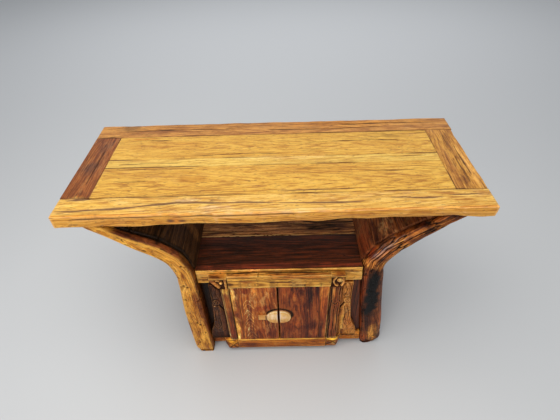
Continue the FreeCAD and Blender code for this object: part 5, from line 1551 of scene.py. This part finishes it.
LEFT_DOOR_BLOTS = front_patches([
    (-0.145, 0.30, 0.010, 0.2, (1.3, 1.5, 1.4)),
    (-0.122, 0.445, 0.022, 0.02, (0.6, 0.38, 0.4)),
    (-0.09, 0.44, 0.014, 0.03, (1.5, 1.7, 1.5)),
    (-0.02, 0.42, 0.03, 0.06, (1.3, 1.4, 1.4)),
    (-0.06, 0.335, 0.05, 0.02, (0.75, 0.5, 0.5)),
    (-0.118, 0.25, 0.014, 0.025, (0.7, 0.5, 0.5)),
    (-0.06, 0.16, 0.05, 0.05, (0.8, 0.62, 0.62))])
RIGHT_DOOR_BLOTS = front_patches([
    (0.095, 0.43, 0.012, 0.03, (0.35, 0.28, 0.4)),
    (0.130, 0.40, 0.014, 0.07, (0.35, 0.26, 0.36)),
    (0.155, 0.44, 0.008, 0.05, (0.45, 0.36, 0.45)),
    (0.169, 0.43, 0.008, 0.06, (2.2, 2.8, 2.2)),
    (0.070, 0.43, 0.010, 0.05, (1.7, 1.8, 1.5)),
    (0.035, 0.43, 0.020, 0.05, (1.25, 1.2, 1.1)),
    (0.10, 0.33, 0.03, 0.05, (1.35, 1.35, 1.2)),
    (0.05, 0.20, 0.03, 0.06, (0.7, 0.55, 0.55)),
    (0.13, 0.19, 0.03, 0.03, (0.55, 0.45, 0.5)),
    (0.08, 0.22, 0.02, 0.03, (1.5, 1.5, 1.3)),
    (0.15, 0.14, 0.02, 0.03, (1.5, 1.6, 1.5))])
PALE_LINE, FLAME_WIDTH = (2.1, 4.2, 6.5), 0.0015
FLAMES = []
for number, level in enumerate((0.392, 0.366, 0.322, 0.294, 0.262, 0.238, 0.208, 0.184, 0.158, 0.132)):
    middle = -0.119 + 0.003 * math.sin(number * 2.4)
    for side in (-0.5, 0.55):
        reach, drop = side * (0.034 + 0.006 * math.sin(number * 1.7)), 0.034
        knee = (middle + reach * 0.45, level - drop * 0.25)
        FLAMES += front_lines([(middle, level, *knee, FLAME_WIDTH, PALE_LINE),
                               (*knee, middle + reach, level - drop, FLAME_WIDTH, PALE_LINE)])
# Painted shade along the meeting edges of the two boards, in the gap between the doors.
LEFT_EDGE_SHADE, RIGHT_EDGE_SHADE = front_lines([(x, 0.47, x, 0.10, 0.0022, GAP_SHADE) for x in (0.0005, 0.0055)])
STRIP_GLOW = (2.5, 4.8, 5.6)
aged("door_left_board", "door_red", "z", 0.0021, 120, shape=grip_shadow, table=LEFT_DOOR_BLOTS,
     strokes=FLAMES + [LEFT_EDGE_SHADE], wear=0.2, dirt=0.3)
aged("door_left_stile", "door_red", "z", 0.0021, 120, wear=0.2, dirt=0.3,
     table=front_patches([(-0.176, z, 0.012, 0.05, STRIP_GLOW) for z in (0.44, 0.37, 0.24, 0.18, 0.12)]))
aged("door_right_board", "door_purple", "z", 0.0021, 122, shape=grip_shadow, table=RIGHT_DOOR_BLOTS,
     strokes=[RIGHT_EDGE_SHADE], wear=0.2, dirt=0.3)
aged("door_right_stile", "door_purple", "z", 0.0021, 123, wear=0.2, dirt=0.3,
     table=front_patches([
         (0.185, 0.44, 0.02, 0.05, (2.2, 3.0, 2.4)),
         (0.185, 0.33, 0.02, 0.10, (1.6, 1.6, 1.3)),
         (0.185, 0.15, 0.02, 0.05, (1.5, 1.7, 1.5))]),
     strokes=[((0.2035, -0.262, 0.465), (0.2035, -0.262, 0.10), 0.0022, (4.4, 14.0, 24.0))])
aged("door_left_battens", "inner_plain", "x", 0.003, 124)
aged("door_right_battens", "inner_plain", "x", 0.003, 125)
print("doors: 6 pieces")

# %% Grips and bolt
bolt_low, bolt_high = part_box("latch_bolt")
bolt_slot_shade_x = KEEPER_BOX["left"][0].x - 0.002
# Patches paint a highlight on the grip's top and shade on its lower part; lines paint shade at the bolt's
# slot and edges.
for seed, (node, along) in enumerate((("keeper_left", "z"), ("keeper_right", "z"), ("latch_bolt", "x")), 126):
    aged(node, "pale_grip", along, 0.0012, seed, depth=0.0001, coarse=0.0003,
         table=front_patches([
            (-0.012, 0.290, 0.036, 0.022, (1.12, 1.32, 2.3)),
            (0.024, 0.282, 0.018, 0.014, (1.1, 1.2, 1.9)),
            (0.0, 0.241, 0.06, 0.014, (0.88, 0.58, 0.26)),
            (-0.070, 0.275, 0.024, 0.04, (0.9, 0.72, 0.5)),
            (0.015, 0.262, 0.008, 0.006, (0.75, 0.55, 0.4)),
            (-0.02, 0.255, 0.02, 0.012, (0.98, 0.85, 0.6))], -0.27, 0.03),
         strokes=front_lines([
            (bolt_slot_shade_x, bolt_low.z, bolt_slot_shade_x, bolt_high.z, 0.003, (0.06, 0.04, 0.03)),
            (bolt_low.x, bolt_low.z, bolt_low.x, bolt_high.z, 0.002, (0.2, 0.12, 0.1)),
            (bolt_low.x, bolt_high.z, bolt_slot_shade_x, bolt_high.z, 0.002, (0.3, 0.2, 0.15)),
            (bolt_low.x, bolt_low.z, bolt_slot_shade_x, bolt_low.z, 0.0025, (0.5, 0.35, 0.3))], bolt_low.y))
print("lock: 3 pieces")
